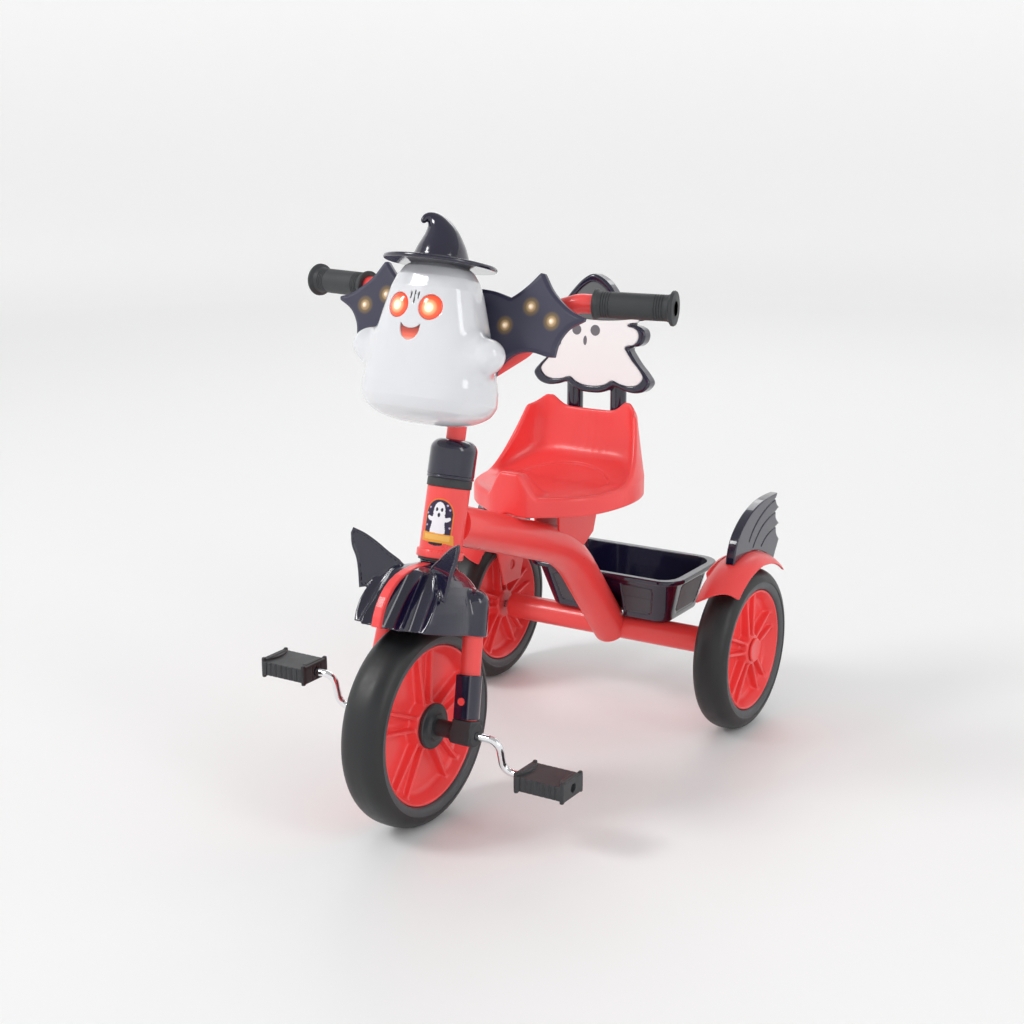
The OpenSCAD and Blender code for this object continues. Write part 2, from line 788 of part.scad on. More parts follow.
module eye_lenses() {
    color(GLOW) steer() for (s = [-1, 1]) intersection() {
        w_pin(s * eye_x, -124, eye_u, 15, 14);
        translate([s * eye_x * 0.86, -104, eye_u]) sphere(r = 20);
    }
}

module mouth_lens() {
    color(GLOW) steer() difference() {
        w_pin(0, -126.5, mouth_u, 12, 10);
        translate([-20, -140, mouth_u + 3]) cube([40, 40, 30]);
    }
}

hat_u = ghost_u + 180;
hat_path = [[0, -81, 5.4, 31], [0, -82, 20, 22], [-1, -84, 35, 14.5], [-5, -87, 46, 9.5], [-11, -92, 53, 6],
    [-19, -98, 56, 3]];

module witch_hat() {
    color(NAVY) steer() translate([0, 0, hat_u]) difference() {
        union() {
            translate([0, -81, 0]) cylinder(r = 74, h = 5.5);
            for (i = [0:len(hat_path) - 2]) hull() for (p = [hat_path[i], hat_path[i + 1]])
                translate([p[0], p[1], p[2]]) sphere(r = p[3] * 0.98, $fn = 32);
        }
        translate([0, -81, -60]) cylinder(r = 90, h = 60);
    }
}

wing_edge = [[30, 60], [60, 60], [69, 78], [85, 92], [106, 96.5], [128, 93], [136.5, 93.5], [140, 112],
    [153, 128.5], [168, 136.5], [169, 141], [150, 147.5], [137, 156.5], [123.5, 168], [115, 180],
    [110, 186], [105, 186], [94, 174], [80, 161.5], [60, 155], [40, 158], [25, 163.5]];

module wing() {
    steer() difference() {
        translate([0, -28, ghost_u]) rotate([90, 0, 0]) linear_extrude(9.5) polygon(wing_edge);
        intersection() {
            ghost_hull(-gap);
            w_slab(-60, 0);
        }
        lamp_places(5.05, -40, 4);
        half_bar(bar_r + 1);
    }
}

module lamp_places(r, w, len) {
    for (p = [[69, 124], [100, 147.5], [129, 133]]) w_pin(p[0], w, ghost_u + p[1], r, len);
}

module wing_lamps() {
    color(GLOW) steer() both_sides() lamp_places(5, -39.5, 3.4);
}

module light_board() {
    color([0.1, 0.4, 0.2]) steer() translate([-34, -72, ghost_u + 108]) cube([68, 2, 34]);
    color([0.1, 0.4, 0.2]) steer() w_pin(0, -86, eye_u - 6, 4, 15);
}

module battery_box() {
    color(DARK) steer() translate([-30, -56, ghost_u + 20]) cube([60, 32, 50]);
}

module power_button() {
    color(RED) steer() w_pin(0, -24, ghost_u + 120, 6, 13);
}

// ---------- front wheel and pedals ----------
hub_r = 12;

module front_tyre() {
    color(DARK) front_axle() tyre(front_r, front_rim_r, front_tyre_w);
}

module front_rim() {
    color(RED) front_axle() rim_body(front_rim_r - 0.02, front_tyre_w - 12, 30, 20)
        along_x(-60, hub_r + 0.02, 120);
}

module front_hub() {
    color(DARK) front_axle() both_sides() difference() {
        union() {
            along_x(0.1, hub_r, 20.3);
            along_x(20.2, 27.5, 6);
            along_x(26, 16, 4);
            along_x(29, 10, block_x - gap - 29);
        }
        along_x(0, crank_r + 0.02, 80);
    }
}

module crank_half() {
    out = [crank_x, 0, 0];
    low = [crank_x, crank_len * sin(crank_lean), -crank_len * cos(crank_lean)];
    along_x(0, crank_r, crank_x);
    translate(out) sphere(r = crank_r + 0.1);
    rod(out, low, crank_r);
    translate(low) sphere(r = crank_r + 0.1);
    translate(low) along_x(0, crank_r, pedal_x + 28 - crank_x);
}

module crank_axle() {
    color(STEEL) front_axle() {
        crank_half();
        rotate([180, 0, 0]) mirror([1, 0, 0]) crank_half();
    }
}

module pedal() {
    size = pedal_size;
    low = [pedal_x, crank_len * sin(crank_lean), -crank_len * cos(crank_lean)];
    translate(low) difference() {
        union() {
            cube(size - [10, 0, 0], center = true);
            cube(size - [0, 10, 0], center = true);
            for (x = [-1, 1], y = [-1, 1])
                translate([x * (size[0] / 2 - 5), y * (size[1] / 2 - 5), -size[2] / 2]) cylinder(r = 5, h = size[2]);
            for (x = [-1, 1], y = [-1, 1])
                translate([x * (size[0] / 2 - 4), y * (size[1] / 2 - 4), -size[2] / 2 - 1.5]) cylinder(r = 3, h = size[2] + 3);
        }
        for (s = [-1, 1]) translate([0, 0, s * size[2] / 2]) cube([44, 36, 5], center = true);
        for (x = [-20:8:20], s = [-1, 1]) translate([x, s * size[1] / 2, 0]) cube([3, 2.4, 40], center = true);
        along_x(-size[0] / 2 - 1, crank_r + run_gap, size[0] - 3);
    }
}

// ---------- output ----------
head_tube();
main_tube();
axle_tube();
head_bushes();
seat();
seat_bracket();
frame_bolts();
backrest_frame();
backrest_panel();
backrest_posts();
basket();
color(RED) mudguard();  // mudguard_left
color(RED) mirror([1, 0, 0]) mudguard();  // mudguard_right
color(NAVY) fin();  // fin_left
color(NAVY) mirror([1, 0, 0]) fin();  // fin_right
rear_axle();
axle_bushes();
axle_caps();
color(DARK) rear_tyre();  // rear_tyre_left
color(DARK) mirror([1, 0, 0]) rear_tyre();  // rear_tyre_right
color(RED) rear_rim();  // rear_rim_left
color(RED) mirror([1, 0, 0]) rear_rim();  // rear_rim_right
color(RED) hub_cover();  // hub_cover_left
color(RED) mirror([1, 0, 0]) hub_cover();  // hub_cover_right
fork_crown();
color(RED) fork_leg();  // fork_leg_left
color(RED) mirror([1, 0, 0]) fork_leg();  // fork_leg_right
stem();
handlebar();
color(DARK) grip();  // grip_left
color(DARK) mirror([1, 0, 0]) grip();  // grip_right
head_cap();
front_fender();
fender_stripe();
color(NAVY) fork_cover();  // fork_cover_left
color(NAVY) mirror([1, 0, 0]) fork_cover();  // fork_cover_right
color(DARK) axle_block();  // axle_block_left
color(DARK) mirror([1, 0, 0]) axle_block();  // axle_block_right
ghost_front();
ghost_back();
ghost_clamp();
ghost_screws();
eye_lenses();
mouth_lens();
witch_hat();
color(NAVY) wing();  // wing_left
color(NAVY) mirror([1, 0, 0]) wing();  // wing_right
wing_lamps();
light_board();
battery_box();
front_tyre();
front_rim();
front_hub();
crank_axle();
color(DARK) front_axle() pedal();  // pedal_left
color(DARK) front_axle() rotate([180, 0, 0]) mirror([1, 0, 0]) pedal();  // pedal_right
color(RED) fork_button();  // fork_button_left
color(RED) mirror([1, 0, 0]) fork_button();  // fork_button_right
release_button();
power_button();
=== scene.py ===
"""Looks of a children's tricycle with a ghost figure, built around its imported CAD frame."""
import functools
import json
import math

import bmesh
import bpy
import numpy as np
from mathutils import Matrix, Vector


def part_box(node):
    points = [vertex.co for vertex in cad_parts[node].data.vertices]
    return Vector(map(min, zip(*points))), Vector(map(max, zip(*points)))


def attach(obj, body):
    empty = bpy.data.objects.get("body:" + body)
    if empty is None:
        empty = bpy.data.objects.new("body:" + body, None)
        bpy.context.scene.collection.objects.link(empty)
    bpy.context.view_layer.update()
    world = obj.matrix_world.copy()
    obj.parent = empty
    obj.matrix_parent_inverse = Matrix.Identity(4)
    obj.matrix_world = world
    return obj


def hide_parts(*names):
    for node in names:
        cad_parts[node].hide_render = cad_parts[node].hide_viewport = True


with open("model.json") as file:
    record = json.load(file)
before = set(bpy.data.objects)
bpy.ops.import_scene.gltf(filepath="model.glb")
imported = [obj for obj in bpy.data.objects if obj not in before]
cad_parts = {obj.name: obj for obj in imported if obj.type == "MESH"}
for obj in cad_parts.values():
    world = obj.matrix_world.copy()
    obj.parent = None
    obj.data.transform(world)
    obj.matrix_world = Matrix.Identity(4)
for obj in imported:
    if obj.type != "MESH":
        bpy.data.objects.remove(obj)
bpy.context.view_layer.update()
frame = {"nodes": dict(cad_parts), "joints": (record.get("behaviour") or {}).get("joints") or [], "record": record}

# ---------- places, taken from the frame ----------
MM = 0.001


def middle(node):
    low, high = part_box(node)
    return (low + high) / 2


def half_size(node):
    low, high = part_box(node)
    return (high - low) / (2 * MM)


front_axle = middle("front_tyre")
rear_axle = middle("rear_tyre_right")
WHEEL_X = abs(rear_axle.x) / MM
rear_axle.x = 0
FRONT_R = half_size("front_tyre").z
REAR_R = half_size("rear_tyre_right").z
FRONT_W = 2 * half_size("front_tyre").x
REAR_W = 2 * half_size("rear_tyre_right").x
steer_axis = Vector(next(j for j in frame["joints"] if j["name"] == "steering_turn")["axis"])
RAKE = math.atan2(steer_axis.y, steer_axis.z)

MILLIMETRES = Matrix.Scale(MM, 4)
MIRROR = Matrix.Scale(-1, 4, (1, 0, 0))
FLOOR = MILLIMETRES
FRONT = Matrix.Translation(front_axle) @ MILLIMETRES
STEER = Matrix.Translation(front_axle) @ Matrix.Rotation(-RAKE, 4, "X") @ MILLIMETRES
REAR = Matrix.Translation(rear_axle) @ MILLIMETRES
SEAT_FROM_AXLE = Vector((0, -0.156, 0.220))
BOARD_FROM_AXLE = Vector((0, -0.075, 0.344))
BOARD_LEAN = math.radians(-5)
SEAT = Matrix.Translation(rear_axle + SEAT_FROM_AXLE) @ MILLIMETRES
BOARD = Matrix.Translation(rear_axle + BOARD_FROM_AXLE) @ Matrix.Rotation(BOARD_LEAN, 4, "X") @ MILLIMETRES

# Heights along the steering axis (u), in mm above the front axle
NECK_U = FRONT_R + 68
HEAD_U = FRONT_R + 72
HEAD_LEN = 84
RING_U = HEAD_U + HEAD_LEN + 0.2
CAP_U = RING_U + 10.2
BAR_U = FRONT_R + 275
GHOST_U = FRONT_R + 225
EYE_U = GHOST_U + 129
MOUTH_U = GHOST_U + 102
HEAD_R = 25.5


# ---------- materials ----------
def linear(r, g, b):
    """A colour given in sRGB bytes, as the shaders take it."""
    return tuple(((c / 255 + 0.055) / 1.055) ** 2.4 if c > 10 else c / 255 / 12.92 for c in (r, g, b)) + (1.0,)


def nodes_of(material):
    material.use_nodes = True
    tree = material.node_tree
    tree.nodes.clear()
    return tree.nodes, tree.links


def place_noise(nodes, links, scale, detail=3.0, rough=0.5):
    coords = nodes.new("ShaderNodeTexCoord")
    noise = nodes.new("ShaderNodeTexNoise")
    noise.inputs["Scale"].default_value = scale
    noise.inputs["Detail"].default_value = detail
    noise.inputs["Roughness"].default_value = rough
    links.new(coords.outputs["Object"], noise.inputs["Vector"])
    return noise


def ranged(nodes, links, source, low, high):
    rng = nodes.new("ShaderNodeMapRange")
    rng.inputs["From Min"].default_value = 0.3
    rng.inputs["From Max"].default_value = 0.7
    rng.inputs["To Min"].default_value = low
    rng.inputs["To Max"].default_value = high
    links.new(source, rng.inputs["Value"])
    return rng.outputs["Result"]


PEEL_DEPTH, GRAIN_DEPTH = 0.0003, 0.00006
CLOUD_SCALE, HAZE_SCALE = 9.0, 38.0


def moulded(name, colour, rough, tone=0.05, vary=0.05, peel=(160, 0.10), grain=(2600, 0.05), metal=0.0,
            coat=0.0, sub=0.0, glow=None, tint=None):
    """A moulded, painted or plated finish: tone and gloss vary, and the skin has an orange peel and a fine grain."""
    material = bpy.data.materials.new(name)
    nodes, links = nodes_of(material)
    out = nodes.new("ShaderNodeOutputMaterial")
    shader = nodes.new("ShaderNodeBsdfPrincipled")
    links.new(shader.outputs[0], out.inputs[0])
    cloud = place_noise(nodes, links, CLOUD_SCALE)
    mix = nodes.new("ShaderNodeMix")
    mix.data_type = "RGBA"
    mix.inputs["A"].default_value = tuple(c * (1 - tone) for c in colour[:3]) + (1,)
    mix.inputs["B"].default_value = tuple(min(c * (1 + tone), 1) for c in colour[:3]) + (1,)
    links.new(ranged(nodes, links, cloud.outputs["Fac"], 0, 1), mix.inputs["Factor"])
    base = mix.outputs["Result"]
    if tint:
        base = tint(nodes, links, base)
    links.new(base, shader.inputs["Base Color"])
    haze = place_noise(nodes, links, HAZE_SCALE, 4.0, 0.6)
    gloss = ranged(nodes, links, haze.outputs["Fac"], max(rough - vary, 0.02), rough + vary)
    links.new(gloss, shader.inputs["Roughness"])
    shader.inputs["Metallic"].default_value = metal
    shader.inputs["Coat Weight"].default_value = coat
    shader.inputs["Coat Roughness"].default_value = 0.06
    if sub:
        shader.inputs["Subsurface Weight"].default_value = sub
        shader.inputs["Subsurface Radius"].default_value = (0.006, 0.005, 0.005)
        shader.inputs["Subsurface Scale"].default_value = 1.0
    normal = None
    for (scale, strength), distance in ((peel, PEEL_DEPTH), (grain, GRAIN_DEPTH)):
        if strength <= 0:
            continue
        skin = place_noise(nodes, links, scale, 2.0)
        bump = nodes.new("ShaderNodeBump")
        bump.inputs["Strength"].default_value = strength
        bump.inputs["Distance"].default_value = distance
        links.new(skin.outputs["Fac"], bump.inputs["Height"])
        if normal:
            links.new(normal, bump.inputs["Normal"])
        normal = bump.outputs["Normal"]
    if normal:
        links.new(normal, shader.inputs["Normal"])
    if glow:
        glow(nodes, links, shader)
    return material


def attribute(nodes, name, output="Fac"):
    node = nodes.new("ShaderNodeAttribute")
    node.attribute_name = name
    return node.outputs[output]


def ramp(nodes, links, source, stops, ease="EASE"):
    node = nodes.new("ShaderNodeValToRGB")
    node.color_ramp.interpolation = ease
    marks = node.color_ramp.elements
    while len(marks) < len(stops):
        marks.new(0.5)
    for mark, (at, colour) in zip(marks, stops):
        mark.position = at
        mark.color = colour
    links.new(source, node.inputs["Fac"])
    return node.outputs["Color"]


def painted_by(name, stops, ease="EASE"):
    """A tint that colours the piece by a value stored on its points."""
    def tint(nodes, links, base):
        return ramp(nodes, links, attribute(nodes, name), stops, ease)
    return tint


def glowing(name, stops, power):
    """Light given off, in colours by a value stored on the piece's points."""
    def glow(nodes, links, shader):
        links.new(ramp(nodes, links, attribute(nodes, name), stops), shader.inputs["Emission Color"])
        shader.inputs["Emission Strength"].default_value = power
    return glow


red_paint = moulded("red_paint", linear(247, 76, 74), 0.32, peel=(240, 0.035), grain=(2200, 0.02), coat=0.2)
red_plastic = moulded("red_plastic", linear(249, 76, 76), 0.33, peel=(260, 0.08), coat=0.10)
navy_gloss = moulded("navy_gloss", linear(20, 18, 46), 0.12, tone=0.10, vary=0.04, peel=(180, 0.07), coat=0.7)
charcoal = moulded("charcoal_plastic", linear(46, 48, 51), 0.46, tone=0.08, peel=(520, 0.16), grain=(2400, 0.25))
rubber = moulded("grip_rubber", linear(52, 55, 57), 0.55, tone=0.07, peel=(600, 0.15), grain=(3000, 0.35))
ghost_white = moulded("ghost_white", linear(226, 227, 231), 0.14, tone=0.015, vary=0.04, peel=(120, 0.05), coat=0.8,
                      sub=0.25)
panel_white = moulded("panel_white", linear(250, 250, 250), 0.32, tone=0.0, vary=0.03, peel=(300, 0.03))
zinc = moulded("zinc_steel", (0.62, 0.63, 0.66, 1), 0.28, tone=0.06, vary=0.08, peel=(90, 0.05), grain=(1800, 0.2),
               metal=1.0)
chrome = moulded("chrome", (0.86, 0.86, 0.88, 1), 0.08, tone=0.03, vary=0.04, peel=(140, 0.06), grain=(1500, 0.04),
                 metal=1.0)
board_green = moulded("board_green", linear(24, 96, 48), 0.4, tone=0.15, peel=(900, 0.2))
side_black, tread_grey = linear(31, 32, 34), linear(74, 76, 79)
wall_stops = [(0.0, side_black), (0.45, side_black), (0.55, tread_grey), (1.0, tread_grey)]
tyre_foam = moulded("tyre_foam", linear(34, 35, 37), 0.42, tone=0.10, vary=0.07, peel=(300, 0.14),
                    grain=(2200, 0.35), tint=painted_by("wall", wall_stops, "LINEAR"))

# The finish of each of the record's material slots; a piece may be given its own instead
FINISHES = {"red_paint": red_paint, "red_plastic": red_plastic, "navy_plastic": navy_gloss, "dark_plastic": charcoal,
            "grip_rubber": rubber, "tyre_foam": tyre_foam, "ghost_plastic": ghost_white, "panel_white": panel_white,
            "lamp_warm": panel_white, "eye_glow": panel_white, "mouth_glow": panel_white, "board_green": board_green,
            "zinc_steel": zinc, "chrome_rod": chrome}


# ---------- mesh making ----------
SHARP_ANGLE = 38


def piece(name, points, faces, where, body, slot, material=None, sharp=SHARP_ANGLE, normals=None, values=None,
          stands_for=()):
    """A mesh object placed by where, on a body, with a slot, its stored values and the nodes it stands for."""
    mesh = bpy.data.meshes.new(name)
    matrix = np.array(where)
    points = np.asarray(points, float)
    placed = points @ matrix[:3, :3].T + matrix[:3, 3]
    if np.linalg.det(matrix[:3, :3]) < 0:
        faces = [tuple(reversed(f)) for f in faces]
    mesh.from_pydata(placed.tolist(), [], [tuple(int(i) for i in f) for f in faces])
    mesh.update()
    obj = bpy.data.objects.new(name, mesh)
    bpy.context.scene.collection.objects.link(obj)
    mesh.shade_smooth()
    if normals is not None:
        turned = np.asarray(normals) @ np.linalg.inv(matrix[:3, :3])
        turned /= np.linalg.norm(turned, axis=1)[:, None]
        mesh.normals_split_custom_set_from_vertices(turned.tolist())
    else:
        mesh.set_sharp_from_angle(angle=math.radians(sharp))
    for key, value in (values or {}).items():
        mesh.attributes.new(key, "FLOAT", "POINT").data.foreach_set("value", np.asarray(value, np.float32))
    mesh.materials.append(material or FINISHES[slot])
    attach(obj, body)
    if stands_for:
        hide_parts(*stands_for)
    return obj


def smooth_line(points, steps=8, closed=False):
    """Points of a centripetal curve through the given ones."""
    p = [np.array(q, float) for q in points]
    n = len(p)
    if closed:
        get = lambda i: p[i % n]
        spans = n
    else:
        get = lambda i: 2 * p[0] - p[1] if i < 0 else (2 * p[-1] - p[-2] if i >= n else p[i])
        spans = n - 1
    out = []
    for i in range(spans):
        a, b, c, d = get(i - 1), get(i), get(i + 1), get(i + 2)
        t1 = max(np.linalg.norm(b - a), 1e-6) ** 0.5
        t2 = t1 + max(np.linalg.norm(c - b), 1e-6) ** 0.5
        t3 = t2 + max(np.linalg.norm(d - c), 1e-6) ** 0.5
        for k in range(steps):
            t = t1 + (t2 - t1) * k / steps
            ab = a * (t1 - t) / t1 + b * t / t1
            bc = b * (t2 - t) / (t2 - t1) + c * (t - t1) / (t2 - t1)
            cd = c * (t3 - t) / (t3 - t2) + d * (t - t2) / (t3 - t2)
            abc = ab * (t2 - t) / t2 + bc * t / t2
            bcd = bc * (t3 - t) / (t3 - t1) + cd * (t - t1) / (t3 - t1)
            out.append(abc * (t2 - t) / (t2 - t1) + bcd * (t - t1) / (t2 - t1))
    if not closed:
        out.append(p[-1])
    return np.array(out)


def tube(path, radius, sides=40):
    """Points and faces of a closed round tube along a path; radius may change along it."""
    path = np.asarray(path, float)
    radius = np.broadcast_to(radius, len(path))
    ahead = np.gradient(path, axis=0)
    ahead /= np.linalg.norm(ahead, axis=1)[:, None]
    side = np.cross(ahead[0], (0.3, 0.9, 0.31))
    side /= np.linalg.norm(side)
    points, faces = [], []
    angles = np.linspace(0, 2 * math.pi, sides, endpoint=False)
    for i, (at, t) in enumerate(zip(path, ahead)):
        side = side - t * side.dot(t)
        side /= np.linalg.norm(side)
        up = np.cross(t, side)
        points += [at + radius[i] * (math.cos(a) * side + math.sin(a) * up) for a in angles]
    for i in range(len(path) - 1):
        for k in range(sides):
            q = (k + 1) % sides
            faces.append((i * sides + k, i * sides + q, (i + 1) * sides + q, (i + 1) * sides + k))
    faces.append(tuple(range(sides - 1, -1, -1)))
    faces.append(tuple((len(path) - 1) * sides + k for k in range(sides)))
    return points, faces


def lathe(profile, axis="x", sides=96):
    """Points and faces of a closed profile of (place along axis, radius) turned about that axis."""
    points, faces = [], []
    n = len(profile)
    for k in range(sides):
        a = 2 * math.pi * k / sides
        for at, r in profile:
            s, c = r * math.sin(a), r * math.cos(a)
            points.append((at, s, c) if axis == "x" else (s, c, at))
    for k in range(sides):
        q = (k + 1) % sides
        for i in range(n):
            j = (i + 1) % n
            if abs(profile[i][1]) < 1e-9 and abs(profile[j][1]) < 1e-9:
                continue
            faces.append((k * n + i, k * n + j, q * n + j, q * n + i))
    return points, faces


def closed_up(obj, weld=True):
    """Turns every face outward; with weld it first joins points that meet, as on a turning axis."""
    mesh = bmesh.new()
    mesh.from_mesh(obj.data)
    if weld:
        bmesh.ops.remove_doubles(mesh, verts=mesh.verts, dist=1e-6)
        bmesh.ops.dissolve_degenerate(mesh, edges=mesh.edges, dist=1e-7)
    bmesh.ops.recalc_face_normals(mesh, faces=mesh.faces)
    mesh.to_mesh(obj.data)
    mesh.free()
    obj.data.shade_smooth()
    obj.data.set_sharp_from_angle(angle=math.radians(SHARP_ANGLE))
    return obj


def turned(name, profile, where, body, slot, material=None, axis="x", sides=96, stands_for=()):
    points, faces = lathe(profile, axis, sides)
    return closed_up(piece(name, points, faces, where, body, slot, material, stands_for=stands_for))


def swept(name, path, radius, where, body, slot, sides=40, stands_for=()):
    points, faces = tube(path, radius, sides)
    return closed_up(piece(name, points, faces, where, body, slot, stands_for=stands_for), weld=False)


# ---------- solids given by a distance, for moulded shapes with fillets ----------
def smin(a, b, k):
    """The union of two distances, with a fillet about k wide; smax is their common part."""
    h = np.clip(0.5 + 0.5 * (b - a) / k, 0, 1)
    return b * (1 - h) + a * h - k * h * (1 - h)


def smax(a, b, k):
    return -smin(-a, -b, k)


def nearest(distances):
    return functools.reduce(np.minimum, distances)


def step(t):
    """Rises smoothly from 0 to 1 as t does."""
    t = np.clip(t, 0, 1)
    return t * t * (3 - 2 * t)


def line_distance(x, y, line):
    """Distance from an open line of flat points."""
    gaps = []
    for a, b in zip(line, line[1:]):
        ex, ey = b[0] - a[0], b[1] - a[1]
        t = np.clip(((x - a[0]) * ex + (y - a[1]) * ey) / (ex * ex + ey * ey), 0, 1)
        gaps.append(np.hypot(x - a[0] - t * ex, y - a[1] - t * ey))
    return nearest(gaps)


def polygon_distance(x, y, outline):
    """Distance from a flat closed outline, less than nought inside it."""
    x, y = np.broadcast_arrays(x, y)
    nearest = np.full(x.shape, 1e12)
    inside = np.zeros(x.shape, bool)
    for (ax, ay), (bx, by) in zip(outline, np.roll(outline, -1, 0)):
        ex, ey = bx - ax, by - ay
        wx, wy = x - ax, y - ay
        t = np.clip((wx * ex + wy * ey) / (ex * ex + ey * ey + 1e-12), 0, 1)
        nearest = np.minimum(nearest, (wx - t * ex) ** 2 + (wy - t * ey) ** 2)
        if ay != by:
            inside ^= ((ay > y) != (by > y)) & (x < ex * (y - ay) / (by - ay) + ax)
    return np.where(inside, -1, 1) * np.sqrt(nearest)


def slab_distance(flat, z, low, high, edge):
    """A flat distance given a depth from low to high, with edges rounded by edge."""
    along = np.abs(z - (low + high) / 2) - (high - low) / 2 + edge
    flat = flat + edge
    return np.minimum(np.maximum(flat, along), 0) + np.hypot(np.maximum(flat, 0), np.maximum(along, 0)) - edge


def capsule(x, y, z, a, b, ra, rb=None):
    """Distance from a round bar between two points, whose radius may change from ra to rb."""
    rb = ra if rb is None else rb
    d = np.subtract(b, a)
    t = np.clip(((x - a[0]) * d[0] + (y - a[1]) * d[1] + (z - a[2]) * d[2]) / d.dot(d), 0, 1)
    gap = np.sqrt((x - a[0] - t * d[0]) ** 2 + (y - a[1] - t * d[1]) ** 2 + (z - a[2] - t * d[2]) ** 2)
    return gap - (ra + (rb - ra) * t)


def polar_radius(outline):
    """Radius of an outline round the origin as a function of direction."""
    angle = np.arctan2(outline[:, 1], outline[:, 0])
    order = np.argsort(angle)
    angle, radius = angle[order], np.hypot(outline[:, 0], outline[:, 1])[order]
    angle = np.concatenate((angle[-3:] - 2 * math.pi, angle, angle[:3] + 2 * math.pi))
    radius = np.concatenate((radius[-3:], radius, radius[:3]))
    return lambda x, y: np.interp(np.arctan2(y, x), angle, radius)


def skin(distance, low, high, pitch, settle=3):
    """Points, faces and normals of the surface where distance is nought, as a net of quads."""
    axes = [np.arange(a, b + pitch, pitch) for a, b in zip(low, high)]
    grid = np.ix_(*axes)
    value = np.ascontiguousarray(np.broadcast_to(distance(*grid), [len(a) for a in axes]))
    inside = value < 0
    count = sum(inside[i:inside.shape[0] - 1 + i, j:inside.shape[1] - 1 + j,
                       k:inside.shape[2] - 1 + k].astype(np.int8)
                for i in (0, 1) for j in (0, 1) for k in (0, 1))
    cells = np.argwhere((count > 0) & (count < 8))
    index = np.full(count.shape, -1)
    index[tuple(cells.T)] = np.arange(len(cells))
    total, hits = np.zeros((len(cells), 3)), np.zeros(len(cells))
    for axis in range(3):
        others = [a for a in range(3) if a != axis]
        for u in (0, 1):
            for v in (0, 1):
                offset = np.zeros(3, int)
                offset[others[0]], offset[others[1]] = u, v
                start = cells + offset
                end = start.copy()
                end[:, axis] += 1
                a, b = value[tuple(start.T)], value[tuple(end.T)]
                cross = (a < 0) != (b < 0)
                t = np.where(cross, a / np.where(cross, a - b, 1), 0)
                spot = start.astype(float)
                spot[:, axis] += t
                total += spot * cross[:, None]
                hits += cross
    points = np.array(low) + total / hits[:, None] * pitch
    faces = []
    for axis in range(3):
        p, q = (axis + 1) % 3, (axis + 2) % 3
        low_side = [slice(None)] * 3
        high_side = [slice(None)] * 3
        low_side[axis], high_side[axis] = slice(0, -1), slice(1, None)
        a, b = inside[tuple(low_side)], inside[tuple(high_side)]
        edges = np.argwhere(a != b)
        keep = (edges[:, p] > 0) & (edges[:, q] > 0) & (edges[:, p] < count.shape[p]) & (edges[:, q] < count.shape[q])
        edges = edges[keep]
        corners = []
        for dp, dq in ((-1, -1), (0, -1), (0, 0), (-1, 0)):
            c = edges.copy()
            c[:, p] += dp
            c[:, q] += dq
            corners.append(index[tuple(c.T)])
        quads = np.stack(corners, 1)
        outward = a[tuple(edges.T)]
        faces.append(np.where(outward[:, None], quads, quads[:, ::-1]))
    faces = np.concatenate(faces)
    tiny = 0.02 * pitch
    for turn in range(settle + 1):
        here = distance(*points.T)
        slope = np.stack([(distance(*(points + tiny * unit).T) - distance(*(points - tiny * unit).T)) / (2 * tiny)
                          for unit in np.eye(3)], 1)
        size = np.maximum((slope ** 2).sum(1), 1e-4)
        if turn < settle:
            move = -slope * (here / size)[:, None]
            length = np.linalg.norm(move, axis=1)
            points = points + move * np.minimum(1, 0.45 * pitch / np.maximum(length, 1e-9))[:, None]
    return points, faces, slope / np.sqrt(size)[:, None]


def cast(name, distance, low, high, pitch, where, body, slot, material=None, values=None, stands_for=()):
    points, faces, normals = skin(distance, low, high, pitch)
    given = {key: value(*points.T) for key, value in (values or {}).items()}
    piece(name, points, faces.tolist(), where, body, slot, material, normals=normals, values=given,
          stands_for=stands_for)


def both(make):
    """Makes the piece on the left, and its mirror image on the right."""
    make("left", Matrix.Identity(4))
    make("right", MIRROR)


def filleted(points, radius, steps=12):
    """A path of straight runs joined by true arcs."""
    p = [np.array(q, float) for q in points]
    out = [p[0]]
    for a, b, c in zip(p, p[1:], p[2:]):
        back, on = (a - b) / np.linalg.norm(a - b), (c - b) / np.linalg.norm(c - b)
        half = (math.pi - math.acos(np.clip(back.dot(on), -1, 1))) / 2
        reach = min(radius * math.tan(half), np.linalg.norm(a - b) * 0.48, np.linalg.norm(c - b) * 0.48)
        r = reach / math.tan(half)
        inward = (back + on) / np.linalg.norm(back + on)
        along = (on - back) / np.linalg.norm(on - back)
        centre = b + inward * r / math.cos(half)
        out += [centre - r * math.cos(t) * inward + r * math.sin(t) * along for t in np.linspace(-half, half, steps)]
    out.append(p[-1])
    return np.array(out)


def dense(path, gap=6):
    """The path with no step longer than gap."""
    out = [path[0]]
    for a, b in zip(path, path[1:]):
        n = max(1, math.ceil(np.linalg.norm(b - a) / gap))
        out += [a + (b - a) * k / n for k in range(1, n + 1)]
    return np.array(out)


